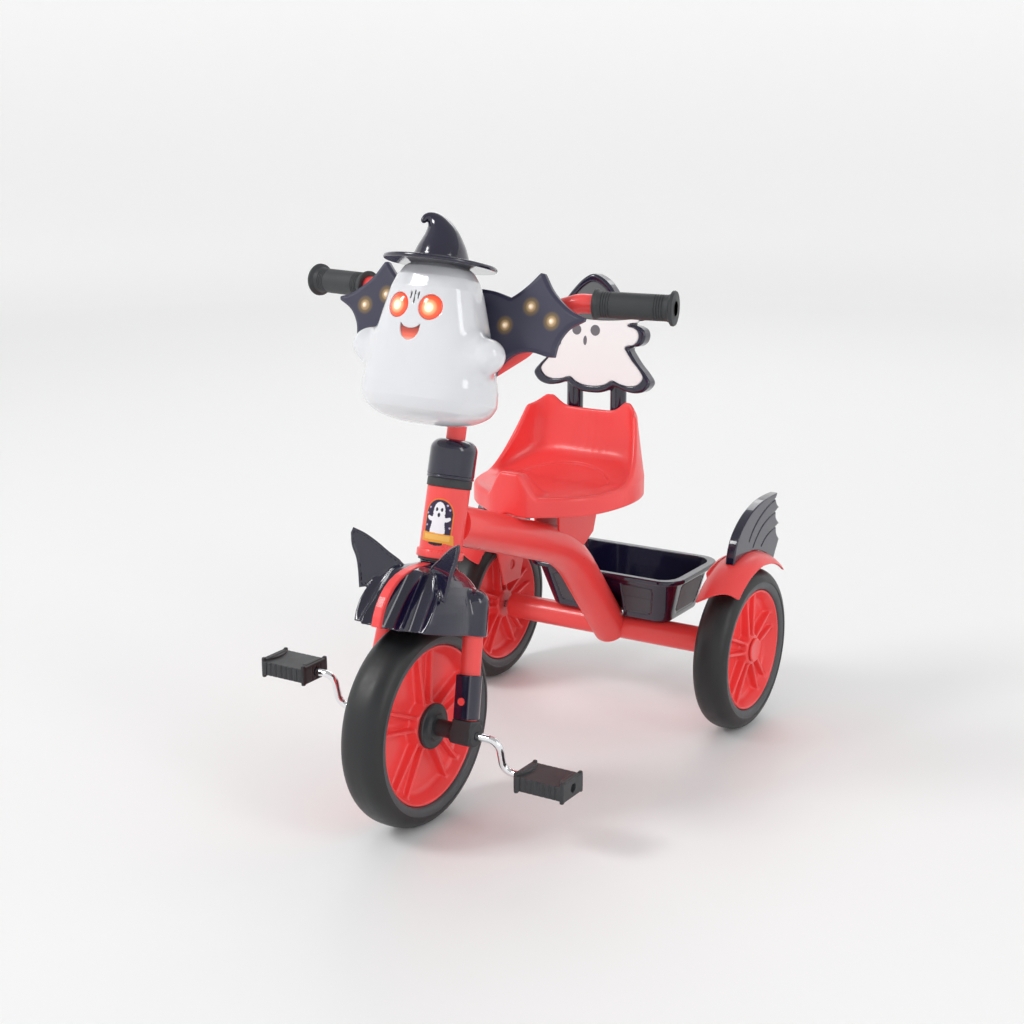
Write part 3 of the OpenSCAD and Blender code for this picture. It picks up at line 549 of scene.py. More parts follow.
# ---------- wheels ----------
def tyre(name, r, rim_r, w, where, body, node):
    h = w / 2
    crown = smooth_line([(0, r), (h * 0.40, r - 0.8), (h * 0.68, r - 3.6), (h * 0.88, r - 8.4), (h * 0.98, r - 14),
                         (h, r - 16.6)], 5)
    wall = smooth_line([(h - 1.1, rim_r + 10.6), (h - 1.5, rim_r + 6), (h - 2.9, rim_r + 2.2),
                        (h - 5.2, rim_r + 0.6)], 4)
    half = list(crown) + [(h - 0.3, rim_r + 11.4)] + list(wall) + [(h - 6.2, rim_r + 0.1), (0, rim_r + 0.1)]
    profile = [(x, q) for x, q in half] + [(-x, q) for x, q in half[-2:0:-1]]
    points, faces = lathe(profile, sides=144)
    points = np.array(points)
    band = np.hypot(points[:, 1], points[:, 2]) < rim_r + 10.9
    closed_up(piece(name, points, faces, where, body, "tyre_foam", values={"wall": band}, stands_for=[node]))


def rim(name, rim_r, half, hub_r, bore, where, body, node):
    def shape(x, y, z):
        r = np.hypot(y, z)
        out = np.abs(x)
        fifth = 2 * math.pi / 5
        a = (np.arctan2(y, z) + fifth / 2) % fifth - fifth / 2
        along, across = r * np.cos(a), np.abs(r * np.sin(a))
        inner = rim_r - 2.4 - 10.5 * (1 - np.clip(out / half, 0, 1)) ** 0.9
        barrel = slab_distance(np.maximum(r - rim_r, inner - r), x, -half, half, 1.1)
        web = np.maximum(out - 3, r - rim_r + 3)
        hub = smax(r - (hub_r - 0.22 * out), out - 19.5, 2.5)
        lean = math.radians(6)
        rib = np.abs(across * math.cos(lean) - along * math.sin(lean) - 4.4) - (2.7 - 0.04 * out)
        share = np.clip((r - hub_r) / (rim_r - hub_r), 0, 1)
        rib = np.maximum(smax(rib, out - (16.5 - 2.5 * share), 1.6), r - rim_r + 1)
        swell = out - 3 - 4.5 * step(1 - np.abs(across) / np.maximum(0.36 * along, 1))
        panel = np.maximum(swell, r - rim_r + 4)
        body_shape = smin(smin(smin(web, panel, 3), barrel, 5), smin(hub, rib, 3), 3.5)
        return smax(body_shape, bore - r, 0.8)
    edge = rim_r + 3
    cast(name, shape, (-half - 3, -edge, -edge), (half + 3, edge, edge), 1.35, where, body, "red_plastic",
         stands_for=[node])


FRONT_RIM = FRONT_R - 28
REAR_RIM = REAR_R - 29
tyre("tyre_front", FRONT_R, FRONT_RIM, FRONT_W, FRONT, "front_wheel", "front_tyre")
rim("rim_front", FRONT_RIM - 0.1, FRONT_W / 2 - 6, 31, 11, FRONT, "front_wheel", "front_rim")


def rear_wheel(side, flip):
    where = REAR @ flip @ Matrix.Translation((WHEEL_X, 0, 0))
    body = "rear_wheel_" + side
    tyre("tyre_rear_" + side, REAR_R, REAR_RIM, REAR_W, where, body, "rear_tyre_" + side)
    rim("rim_rear_" + side, REAR_RIM - 0.1, REAR_W / 2 - 4, 24, 5.3, where, body, "rear_rim_" + side)
    turned("cover_rear_" + side,
           [(14.5, 0), (14.5, 12.8), (20.3, 12.8), (20.3, 15.2), (20.9, 15.9), (22.6, 15.9), (23.3, 15.2),
                                  (23.5, 13.6), (23.1, 12.6), (23.4, 0)],
           where, body, "red_plastic", stands_for=["hub_cover_" + side])


both(rear_wheel)

hub_profile = [(0.3, 5), (0.3, 12), (20.2, 12), (20.2, 26.2), (21.2, 27.4), (24.8, 27.4), (26.2, 26.0), (26.4, 18.5),
               (27.6, 16.4),
               (30.4, 15.2), (30.8, 10.2), (51.6, 10.0), (51.6, 5)]
points, faces = lathe(hub_profile)
faces += [tuple(i + len(points) for i in reversed(face)) for face in faces]
points += [(-x, y, z) for x, y, z in points]
closed_up(piece("hub_front", points, faces, FRONT, "front_wheel", "dark_plastic", stands_for=["front_hub"]))

CRANK_LEAN = math.radians(15)
CRANK_ARM = 42
pedal_at = np.array((174, CRANK_ARM * math.sin(CRANK_LEAN), -CRANK_ARM * math.cos(CRANK_LEAN)))
crank = [(202, pedal_at[1], pedal_at[2]), (114, pedal_at[1], pedal_at[2]), (114, 0, 0)]
crank_path = dense(filleted([(-x, -y, -z) for x, y, z in crank] + crank[::-1], 13), 5)
swept("crank_rod", crank_path, 4.5, FRONT, "front_wheel", "chrome_rod", stands_for=["crank_axle"])


def pedal_shape(x, y, z):
    flat = np.hypot(np.maximum(np.abs(x) - 28, 0), np.maximum(np.abs(y) - 19, 0)) - 6
    flat = flat + 0.35 * step((np.abs(z) - 5) / 7)
    block = slab_distance(flat, z, -11, 11, 1.4)
    hollow = slab_distance(np.maximum(np.abs(x) - (20.5 + 5 * (np.abs(y) / 18) ** 2), np.abs(y) - 26), np.abs(z), 8.6,
                           14, 0.6)
    block = smax(block, -hollow, 1.2)
    pads = slab_distance(np.maximum(np.abs(np.abs(x) - 27.5) - 3.2, np.abs(y) - 15), np.abs(z), 8, 12.3, 1.2)
    block = smin(block, pads, 1.0)
    pins = slab_distance(np.hypot(np.abs(x) - 30.2, np.abs(y) - 21.2) - 2.6, np.abs(z), 8, 12.5, 0.9)
    block = smin(block, pins, 0.8)
    column = np.abs((x + 4) % 8 - 4)
    flute = np.maximum(np.hypot(column, np.abs(y) - 26.0) - 2.0, np.abs(x) - 24)
    block = smax(block, -np.maximum(flute, np.abs(z) - 9), 0.7)
    ends = np.maximum(np.hypot((y + 4) % 8 - 4, np.abs(x) - 34.9) - 1.7, np.abs(y) - 14)
    block = smax(block, -np.maximum(ends, np.abs(z) - 8), 0.6)
    return smax(block, np.maximum(5.2 - np.hypot(y, z), x - 33), 0.4)


for side, turn in (("left", Matrix.Identity(4)), ("right", Matrix.Rotation(math.pi, 4, "X") @ MIRROR)):
    cast("pedal_block_" + side, pedal_shape, (-36, -27, -14.5), (36, 27, 14.5), 0.9,
         FRONT @ turn @ Matrix.Translation(pedal_at), "pedal_" + side, "dark_plastic", stands_for=["pedal_" + side])

# ---------- frame tubes ----------
fy, fz = front_axle.y / MM, front_axle.z / MM
ry, rz = rear_axle.y / MM, rear_axle.z / MM
MAIN_U = HEAD_U + 42
MAIN_R = 25
BEND_AHEAD, BEND_UP = 134, 145      # the main tube's corner, from the rear axle
FOOT_AHEAD, FOOT_DOWN = 5, 4        # its lower end
tube_corners = [(0, fy + MAIN_U * math.sin(RAKE), fz + MAIN_U * math.cos(RAKE)),
                (0, ry - BEND_AHEAD, rz + BEND_UP), (0, ry - FOOT_AHEAD, rz - FOOT_DOWN)]
main_path = dense(filleted(tube_corners, 200, 28), 10)
swept("main_tube_shell", main_path[2:], MAIN_R, FLOOR, "frame", "red_paint", sides=64, stands_for=["main_tube"])
turned("head_tube_shell",
       [(HEAD_U, 21.6), (HEAD_U, 27.2), (HEAD_U + 0.8, 28), (HEAD_U + 8.6, 28), (HEAD_U + 9.8, 27.3),
        (HEAD_U + 10.6, 25.5),
                           (HEAD_U + HEAD_LEN - 0.6, 25.5), (HEAD_U + HEAD_LEN, 25.0), (HEAD_U + HEAD_LEN, 21.6)],
       STEER, "frame", "red_paint", axis="z", stands_for=["head_tube"])
TUBE_HALF = WHEEL_X - 32
LEG_LEAN = math.radians(4.3)
LEG_WAY = np.array((-math.sin(LEG_LEAN), 0, math.cos(LEG_LEAN)))
LEG_FOOT = np.array((67.5, 0, 20.0))
turned("axle_tube_shell",
       [(-TUBE_HALF, 15.2), (-TUBE_HALF, 17.4), (-TUBE_HALF + 0.6, 18), (TUBE_HALF - 0.6, 18), (TUBE_HALF, 17.4),
        (TUBE_HALF, 15.2)],
       REAR, "frame", "red_paint", stands_for=["axle_tube"])


def fork_leg(side, flip):
    reach = (FRONT_R + 25 - LEG_FOOT[2]) / LEG_WAY[2]
    path = [LEG_FOOT + LEG_WAY * t for t in np.linspace(-9, reach, 24)]
    swept("leg_" + side, path, 12, STEER @ flip, "steering", "red_paint", sides=48, stands_for=["fork_leg_" + side])


both(fork_leg)
swept("stem_tube", [(0, 0, u) for u in np.linspace(HEAD_U + 20, BAR_U, 24)], 11.5, STEER, "steering", "red_paint",
      sides=48, stands_for=["stem"])
bar = [(247, 24, BAR_U + 115), (140, 2, BAR_U + 110), (114, 0, BAR_U + 101), (76, 0, BAR_U + 52), (0, 0, BAR_U)]
bar_path = dense(filleted(bar + [(-x, y, z) for x, y, z in bar[-2::-1]], 34, 12), 6)
swept("handlebar_tube", bar_path, 11, STEER, "steering", "red_paint", sides=48, stands_for=["handlebar"])


# ---------- grips ----------
def grip(side, flip):
    end, start = Vector(bar[0]), Vector(bar[1])
    way = (end - start).normalized()
    turn = Vector((0, 0, 1)).rotation_difference(way).to_matrix().to_4x4()
    where = STEER @ flip @ Matrix.Translation(start + way * ((end - start).length - 91)) @ turn
    ribs = []
    for z in (10, 13, 16, 19, 72, 75, 78, 81):
        ribs += [(z - 0.7, 15.0), (z - 0.4, 14.3), (z + 0.4, 14.3), (z + 0.7, 15.0)]
    profile = [(-0.4, 11.2), (-0.4, 16.6), (0.4, 17.5), (2.8, 17.5), (4.0, 16.4), (6.0, 15.0)] + ribs
    profile += [(84.5, 15.0), (87.5, 16.0), (89.2, 18.6), (90.0, 19.7), (92.2, 20.0), (93.6, 19.2), (94, 17.5),
                (94, 0)]
    turned("grip_" + side + "_sleeve", profile, where, "steering", "grip_rubber", axis="z", sides=72,
           stands_for=["grip_" + side])


both(grip)


# ---------- head tube ring, cap and its button ----------
CAP = STEER @ Matrix.Translation((0, 0, CAP_U))
CAP_R = HEAD_R + 2.5
turned("head_ring", [(RING_U, 16.2), (RING_U, 26.0), (RING_U + 0.6, 26.6), (RING_U + 9.2, 26.6), (RING_U + 9.8, 26.0),
                     (RING_U + 9.8, 16.2)],
       STEER, "frame", "dark_plastic", axis="z")


def cap_shape(x, y, z):
    r = np.hypot(x, y)
    outer = slab_distance(r - CAP_R, z, -30, 46.5, 13.5)
    outer = smax(outer, -z, 0.8)
    groove = np.maximum(np.abs(z - 3.2) - 0.7, CAP_R - 0.7 - r)
    outer = smax(outer, -groove, 0.5)
    outer = smax(outer, np.maximum(11.7 - r, z - 60), 0.8)
    pocket = slab_distance(np.maximum(np.abs(x) - 7.5, CAP_R - 7.7 - y), z, 2, 34, 0.3)
    return smax(outer, -pocket, 0.8)


cast("cap_shell", cap_shape, (-30, -30, -2), (30, 30, 48.5), 1.1, CAP, "steering", "navy_plastic",
     stands_for=["head_cap"])


def button_shape(x, y, z):
    bowed = y - (CAP_R + 3.0 - 0.012 * (z - 19) ** 2)
    return slab_distance(np.maximum(np.abs(x) - 6.9, np.maximum(bowed, CAP_R - 4 - y)), z, 2.4, 33.6, 1.2)


cast("cap_button", button_shape, (-9, CAP_R - 7, 0), (9, CAP_R + 6, 36), 0.8, CAP, "release_button",
     "red_plastic", stands_for=["release_button"])

# ---------- front fender ----------
fender_half = [(0, -111), (14, -110), (26, -105), (40, -96), (54, -79), (63, -52), (66, -20), (64.5, 6), (57, 26),
               (36, 38), (0, 41)]
fender_line = smooth_line(fender_half + [(-x, y) for x, y in fender_half[-2:0:-1]], 6, closed=True)
fender_radius = polar_radius(fender_line)
RIM_U = FRONT_R - 10


def fender_dome(x, w, u, cut=0.0):
    high = u - RIM_U + cut * 0.6
    k = np.interp(high, [-20, 0, 12, 24, 35, 45, 54, 61, 67, 71, 74, 78],
                  [1.0, 1.0, 0.993, 0.97, 0.925, 0.855, 0.765, 0.665, 0.54, 0.42, 0.28, 0.02])
    shift = np.interp(high, [0, 35, 54, 67, 78], [0, 0, -2, -3, -3])
    q = np.hypot(x, w - shift) / fender_radius(x, w - shift)
    return (q - k) * 72 + cut


COLUMN_TOP = FRONT_R + 34
column_ends = [LEG_FOOT + LEG_WAY * ((u - LEG_FOOT[2]) / LEG_WAY[2]) for u in (RIM_U - 20, COLUMN_TOP - 7)]
ear_line = np.vstack([smooth_line(run, 4) for run in (
    [(24, 165), (21, 178), (24, 186)], [(30, 191), (44, 199), (58, 208), (73, 216), (88, 221)],
    [(90, 214), (87, 200), (80, 186), (76, 172), (72, 152)])])
EAR_YAW = math.radians(-32)


def fender_shape(x, w, u):
    side = np.abs(x)
    dome = fender_dome(x, w, u)
    flutes = smin(capsule(side, w, u, (17, -124, 108), (14, -72, 190), 15.5),
                  capsule(side, w, u, (45, -113, 100), (34, -62, 190), 15.5), 1.5)
    fluted = smax(dome, -(flutes + 1.0), 3.0)
    shell = smin(fluted, capsule(side, w, u, *column_ends, 16.4), 7)
    collar = np.maximum(np.hypot(x, w) - 22.5, u - NECK_U - 0.2)
    shell = smin(shell, collar, 6)
    c, s = math.cos(EAR_YAW), math.sin(EAR_YAW)
    ex, ew = side * c + (w + 30) * s, -side * s + (w + 30) * c
    flat = polygon_distance(ex, u, ear_line)
    ear = slab_distance(flat, ew, -4.2, 0, 1.3)
    ear = smax(ear, -np.maximum(flat + 3.4, np.abs(ew + 4.8) - 1.4), 0.8)
    shell = smin(shell, ear, 3.5)
    inner = smin(smax(fluted + 2.9, fender_dome(x, w, u, 2.8), 1), capsule(side, w, u, *column_ends, 13.6), 4)
    shell = smax(shell, -inner, 1.2)
    shell = smax(shell, RIM_U - u, 1.2)
    along_tyre_y = w * math.cos(RAKE) + u * math.sin(RAKE)
    along_tyre_z = u * math.cos(RAKE) - w * math.sin(RAKE)
    wheel_room = np.maximum(np.hypot(along_tyre_y, along_tyre_z) - FRONT_R - 6.5, side - 38)
    shell = smax(shell, -wheel_room, 1.2)
    return smax(shell, 16.3 - np.hypot(x, w), 0.6)


cast("fender_shell", fender_shape, (-96, -118, RIM_U - 3), (96, 46, 224), 1.45, STEER, "steering", "navy_plastic",
     stands_for=["front_fender"])


def stripe_shape(x, w, u):
    dome = fender_dome(x, w, u)
    band = slab_distance(np.maximum(dome - 2.6, -dome - 2.4), x, -5.6, 5.6, 1.3)
    band = smax(band, RIM_U + 0.6 - u, 1.0)
    band = smax(band, w + 24, 1.5)
    return smax(band, u - NECK_U - 0.3, 1.0)


cast("fender_band", stripe_shape, (-8, -117, RIM_U - 2), (8, -20, NECK_U + 4), 1.0, STEER, "steering", "red_plastic",
     stands_for=["fender_stripe"])


def fork_sleeve(side, flip):
    where = STEER @ flip @ Matrix.Translation(LEG_FOOT) @ Matrix.Rotation(-LEG_LEAN, 4, "Y")

    def sleeve(x, y, z):
        flat = np.hypot(x, y) - 14.4
        boxy = np.maximum(np.abs(x) - 9.5, -y - 15.6)
        outer = smin(flat, np.maximum(boxy, y), 2.5)
        outer = slab_distance(outer, z, -2.6, 49, 1.0)
        outer = smax(outer, 12.1 - np.hypot(x, y), 0.5)
        hole = np.maximum(np.hypot(x, z - 18) - 4.7, y)
        return smax(outer, -hole, 0.6)

    cast("fork_sleeve_" + side, sleeve, (-17, -18, -5), (17, 17, 51), 1.0, where, "steering", "navy_plastic",
         stands_for=["fork_cover_" + side])

    def block(x, y, z):
        hub_part = slab_distance(np.hypot(y, z) - 13.6, x, 52, 83.6, 1.4)
        riser = slab_distance(np.maximum(np.abs(x - 69) - 12.5, np.abs(y) - 14), z, -12, 17, 2.0)
        out = smin(hub_part, riser, 4)
        return smax(out, 4.8 - np.hypot(y, z), 0.5)

    cast("fork_end_" + side, block, (48, -18, -17), (87, 18, 20), 1.1, STEER @ flip, "steering", "dark_plastic",
         stands_for=["axle_block_" + side])


both(fork_sleeve)

# ---------- ghost figure ----------
ghost_rings = np.array([(-4, -66, 62, 42), (6, -66.3, 71, 52), (16, -66.6, 77, 58), (28, -67, 80, 61.4),
                        (44, -68.4, 80, 60.6), (60, -70, 77, 58.2),
                        (80, -72, 72.5, 55.4), (100, -74, 67.5, 52.4), (120, -76.2, 62.5, 49), (138, -78, 57.5, 46),
                        (152, -79.2, 53.5, 43), (166, -80, 47.5, 38.5),
                        (176, -80.8, 40, 32), (184, -81, 28, 22)])


def ghost_body(x, w, u):
    """The figure without its arms; each ring is (height, middle, half width, half depth)."""
    h = u - GHOST_U
    centre, a, b = (np.interp(h, ghost_rings[:, 0], column) for column in ghost_rings[:, 1:].T)
    squareness = 2.45
    q = (np.abs(x / a) ** squareness + np.abs((w - centre) / b) ** squareness) ** (1 / squareness)
    return smax((q - 1) * np.minimum(a, b), -h, 34)


EYE_X, EYE_R = 21.3, 13.9
SHELL_WALL = 3.0


def eye_gap(x, u):
    return np.hypot(np.abs(x) - EYE_X, u - EYE_U)


mouth_line = 1.1 * np.vstack([smooth_line(run, 6) for run in (
    [(-12.2, 6.2), (-11.0, -1.5), (-7.2, -7.6), (0, -10.4), (7.2, -7.6), (11.0, -1.5), (12.2, 6.2)],
    [(11.6, 6.6), (7.5, 3.2), (0, 1.6), (-7.5, 3.2), (-11.6, 6.6)])])
slits = [((-5.0, 8), (-4.9, 15.5)), ((0, 3.5), (0, 17.5)), ((5.0, 8), (4.9, 15.5))]


def slit_gap(x, u):
    return nearest(line_distance(x, u - EYE_U, slit) for slit in slits) - 0.62


def ghost_solid(x, w, u):
    arm = capsule(np.abs(x), w, u, (46, -74, GHOST_U + 78), (82, -83, GHOST_U + 84), 21, 18.6)
    return smin(ghost_body(x, w, u), arm, 20)


def ghost_front(x, w, u):
    body = ghost_solid(x, w, u)
    shell = smax(body, -(body + SHELL_WALL), 0.4)
    shell = smax(shell, w + 38.2, 0.8)
    socket = np.maximum(eye_gap(x, u) - EYE_R - 0.3, w + 90)
    shell = smax(shell, -socket, 1.0)
    mouth = np.maximum(polygon_distance(x, u - MOUTH_U, mouth_line), w + 95)
    shell = smax(shell, -mouth, 0.9)
    marks = np.maximum(np.maximum(slit_gap(x, u), w + 90), -(body + 1.3))
    return smax(shell, -marks, 0.3)


def ghost_rear(x, w, u):
    body = ghost_solid(x, w, u)
    body = smax(body, w + 14.2, 7)
    shell = smax(body, -smax(body + SHELL_WALL, w - 20, 3), 0.4)
    shell = smax(shell, -37.8 - w, 0.8)
    shell = smax(shell, -np.maximum(np.hypot(x, u - GHOST_U - 120) - 6.3, -w - 30), 0.5)
    for h in (40, 90):
        shell = smax(shell, -np.maximum(np.hypot(x, u - GHOST_U - h) - 4.2, -w - 16.5), 0.4)
    return shell


cast("ghost_face_shell", ghost_front, (-102, -133, GHOST_U - 4), (102, -36, GHOST_U + 186), 1.35, STEER, "steering",
     "ghost_plastic",
     stands_for=["ghost_front"])
cast("ghost_rear_shell", ghost_rear, (-102, -40, GHOST_U - 4), (102, -12, GHOST_U + 186), 1.6, STEER, "steering",
     "ghost_plastic",
     stands_for=["ghost_back"])

eye_stops = [(0.0, linear(255, 250, 232)), (0.26, linear(255, 236, 200)), (0.50, linear(252, 160, 112)),
             (0.74, linear(240, 88, 52)), (1.0, linear(228, 70, 40))]
eye_glow = moulded("eye_glow", linear(246, 110, 70), 0.16, coat=0.5, tint=painted_by("reach", eye_stops),
                   glow=glowing("reach", eye_stops, 0.42))


def eye_lens(x, w, u):
    body = ghost_body(x, w, u)
    bulge = body - 1.7 + 0.012 * eye_gap(x, u) ** 2
    lens = smax(bulge, eye_gap(x, u) - EYE_R, 1.6)
    return smax(np.maximum(lens, w + 90), -(body + 4.5), 0.8)


cast("eye_lights", eye_lens, (-38, -134, EYE_U - 18), (38, -88, EYE_U + 18), 0.9, STEER, "steering", "eye_glow",
     eye_glow,
     values={"reach": lambda x, w, u: eye_gap(x, u + 0.6) / EYE_R}, stands_for=["eye_lenses"])

# The mouth lamp's colour and glow are painted darker towards its top edge: a painted shadow under the lip, lighter
# towards the bottom.
mouth_shadow_stops = [(0.0, linear(122, 40, 34)), (0.35, linear(186, 62, 44)), (0.75, linear(232, 100, 76)),
               (1.0, linear(240, 150, 130))]
mouth_glow = moulded("mouth_glow", linear(220, 80, 60), 0.35, coat=0.3, tint=painted_by("lip_shadow_fade", mouth_shadow_stops),
                     glow=glowing("lip_shadow_fade", mouth_shadow_stops, 0.14))


def mouth_insert(x, w, u):
    body = ghost_body(x, w, u)
    return smax(np.maximum(np.maximum(body + 1.7, -(body + 4.6)), w + 95),
                polygon_distance(x, u - MOUTH_U, mouth_line) - 0.6, 0.6)


# The stored value is 0 at the top of the mouth, where the painted shadow is darkest, and rises to 1 near its bottom.
cast("mouth_light", mouth_insert, (-15, -134, MOUTH_U - 13), (15, -95, MOUTH_U + 10), 0.7, STEER, "steering",
     "mouth_glow", mouth_glow,
     values={"lip_shadow_fade": lambda x, w, u: np.clip((MOUTH_U + 5 - u) / 15.5, 0, 1)}, stands_for=["mouth_lens"])

slit_dark = moulded("slit_dark", linear(30, 30, 34), 0.5)


def brow_inlay(x, w, u):
    body = ghost_body(x, w, u)
    return smax(np.maximum(body + 0.25, -(body + 2.4)), np.maximum(slit_gap(x, u) + 0.1, w + 95), 0.3)


cast("brow_inlays", brow_inlay, (-9, -132, EYE_U + 1), (9, -95, EYE_U + 21), 0.45, STEER, "steering", "dark_plastic",
     slit_dark)

# ---------- hat ----------
HAT_U = GHOST_U + 180
BRIM_R = 65.5
# The cone as balls along a bent line: x, w, height over the brim, radius
hat_line = smooth_line([(0, -81, 2, 33), (0, -81.3, 9, 30.5), (0, -81.8, 17, 26.8), (-0.4, -82.6, 26, 22.4),
                        (-2.0, -84, 35, 17.8), (-4.8, -86, 43, 13.2),
                        (-9.0, -89, 49.5, 9.2), (-13.5, -92.5, 52.5, 6.4), (-17.4, -96, 51.6, 4.6),
                        (-18.8, -98, 48.6, 3.7)], 9)


def hat_shape(x, w, u):
    h = u - HAT_U
    cone = nearest(np.sqrt((x - px) ** 2 + (w - pw) ** 2 + (h - ph) ** 2) - pr for px, pw, ph, pr in hat_line)
    brim = slab_distance(np.hypot(x, w + 81) - BRIM_R, h, 0.2, 5.6, 2.4)
    return smax(smin(cone, brim, 5), 0.2 - h, 0.8)


cast("hat_shell", hat_shape, (-77, -158, HAT_U - 2), (77, -4, HAT_U + 63), 1.35, STEER, "steering", "navy_plastic",
     stands_for=["witch_hat"])


# ---------- seat ----------
seat_half = [(0, -125), (25, -122), (47, -108), (68, -92), (88, -67), (100, -30), (104, 14), (99, 48), (86, 74),
             (60, 84), (0, 86)]
seat_line = smooth_line(seat_half + [(-x, y) for x, y in seat_half[-2:0:-1]], 5, closed=True)
seat_radius = polar_radius(seat_line)
into_seat = SEAT.inverted() @ FLOOR
POST_X, POST_Y = 33, 101
main_local = [np.array(into_seat @ Vector(p)) for p in dense(filleted(tube_corners, 200, 28), 22)]


def seat_shape(x, y, z):
    side = np.abs(x)
    wide = x * (1 + 0.0019 * np.maximum(z - 26, 0))
    flat = (np.hypot(wide, y) - seat_radius(wide, y)) * 0.96
    rise = 25 + 92 * np.clip((y + 20) / 82, 0, 1) ** 2.2
    pommel = 31 * (1 - step((side - 10) / 27)) * (1 - step((y + 108) / 46))
    top = np.minimum(rise, 103 + 15 * np.exp(-((side - 59) / 15) ** 2)) + pommel
    outer = smax(smax(flat, -z, 3), (z - top) * 0.78, 5)
    pan = 23 + 22 * step((y - 8) / 80) + pommel
    wall = 7 + 9 * (1 - step((z - 30) / 60)) * step((y - 20) / 50)
    hollow = smax(flat + wall, (pan - z) * 0.9, 13)
    post = np.hypot(side - POST_X, y - POST_Y)
    lug = slab_distance(post - 14, z, 0, 62, 2)
    rib = slab_distance(np.maximum(np.abs(side - POST_X) - 9, np.abs(y - 84) - 16), z, 0, 61, 2)
    seat = smax(smin(outer, np.minimum(lug, rib), 6), -hollow, 5)
    dish = smax((np.hypot(x / 1.3, y + 2) - 53.5), pan - 3.4 - z, 0.8)
    seat = smax(seat, -dish, 0.8)
    seat = smax(seat, -np.maximum(flat + 6, z - 15.5), 1.5)
    main_tube = nearest(capsule(x, y, z, a, b, MAIN_R + 1.6)
                        for a, b in zip(main_local, main_local[1:]) if min(a[1], b[1]) < 130)
    seat = smax(seat, -main_tube, 1)
    return smax(seat, -np.maximum(post - 11.3, 14 - z), 0.8)


cast("seat_shell", seat_shape, (-108, -128, -3), (108, 118, 121), 1.9, SEAT, "frame", "red_plastic",
     stands_for=["seat"])

# ---------- backrest ----------
board_half = [(0, 0), (14, 1), (26, 5), (36, 11), (50, 7), (66, 5), (80, 9), (88, 20), (80, 32), (69, 43), (60, 54),
              (55, 62), (60, 65.5), (68, 67),
              (75, 73), (77, 82), (74, 89), (66, 93), (57, 95), (62, 99), (73, 101), (76, 105), (72, 109), (60, 109)]
board_top = [(50, 108), (43, 117), (33, 129), (21, 144), (9, 153), (-5, 157), (-19, 150), (-32, 137), (-43, 123),
             (-51, 109)]
board_line = smooth_line(board_half + board_top + [(-x, y) for x, y in board_half[:0:-1]], 4, closed=True)
panel_line = np.column_stack((board_line[:, 0] * 0.88, (board_line[:, 1] - 74) * 0.88 + 74))


def board_shape(x, y, z):
    board = slab_distance(polygon_distance(x, z, board_line), y, 0, 20, 3.6)
    pocket = np.maximum(polygon_distance(x, z, panel_line), y - 4.9)
    return smax(board, -pocket, 1.6)


cast("board_rim", board_shape, (-92, -2, -3), (92, 22, 160), 1.3, BOARD, "frame", "navy_plastic",
     stands_for=["backrest_frame"])
hat_grey = moulded("hat_grey", linear(98, 101, 103), 0.42)
print_grey = moulded("print_grey", linear(112, 110, 116), 0.45)


def above_brim(x, z):
    return 96.5 + 0.0016 * x ** 2 - z


def board_inlay(name, beyond, low_z, high_z, *finish, **words):
    """A plate that fills the board's pocket on one side of the painted brim."""
    def shape(x, y, z):
        return slab_distance(np.maximum(polygon_distance(x, z, panel_line) + 0.2, beyond(x, z)), y, 1.5, 4.85, 0.8)
    cast(name, shape, (-82, 0, low_z), (82, 6, high_z), 1.1, BOARD, "frame", *finish, **words)


board_inlay("board_panel", lambda x, z: -above_brim(x, z), 6, 110, "panel_white", stands_for=["backrest_panel"])
board_inlay("board_hat", lambda x, z: above_brim(x, z) + 0.1, 92, 150, "dark_plastic", hat_grey)


def board_mark(name, x, z, a, b):
    turned(name, [(-1.2, 0.01), (-1.2, 1.0), (-0.2, 1.0), (0, 0.97), (0, 0.01)],
           BOARD @ Matrix.Translation((x, 1.3, z)) @ Matrix.Rotation(math.pi / 2, 4,
                                                                     "X") @ Matrix.Diagonal((a, b, 1, 1)),
           "frame", "dark_plastic", print_grey, axis="z", sides=64)


board_mark("board_eye_right", -25, 82, 6.9, 6.9)
board_mark("board_eye_left", 3, 83, 7.2, 7.2)
board_mark("board_mouth", -11.5, 68.5, 2.7, 6.3)
for side, x in (("left", POST_X), ("right", -POST_X)):
    turned("post_" + side, [(0, 7.6), (0, 10.4), (0.6, 11), (154.6, 11), (155.4, 10.2), (155.4, 7.6)],
           SEAT @ Matrix.Translation((x, POST_Y, 14.4)),
           "frame", "navy_plastic", axis="z", sides=64, stands_for=["backrest_posts"])

# ---------- basket ----------
TUB_LOW, TUB_HIGH = rz + 18.3, rz + 88.3
SLOPE = math.atan2(BEND_UP + FOOT_DOWN, BEND_AHEAD - FOOT_AHEAD)


def rounded_box(x, y, a, b, r):
    qx, qy = np.abs(x) - a + r, np.abs(y) - b + r
    return np.minimum(np.maximum(qx, qy), 0) + np.hypot(np.maximum(qx, 0), np.maximum(qy, 0)) - r


def rise(z):
    return (z - TUB_LOW) / (TUB_HIGH - TUB_LOW)


def tub(x, y, z):
    t = rise(z)
    return rounded_box(x, y - ry - 37 + 8 * t, 92 + 19 * t, 53 + 16 * t, 20 + 6 * t) * 0.95


def front_field(x, z, inset=0.0, corner=7):
    """The sunk field of the tub's front wall; flank_field is that of its two sides."""
    return rounded_box(x, z - TUB_LOW - 33, 70 - inset + 13 * rise(z), 23 - inset, corner)


def flank_field(y, z, inset=0.0, corner=7):
    return rounded_box(y - ry - 36, z - TUB_LOW - 33, 30 - inset + 8 * rise(z), 23 - inset, corner)


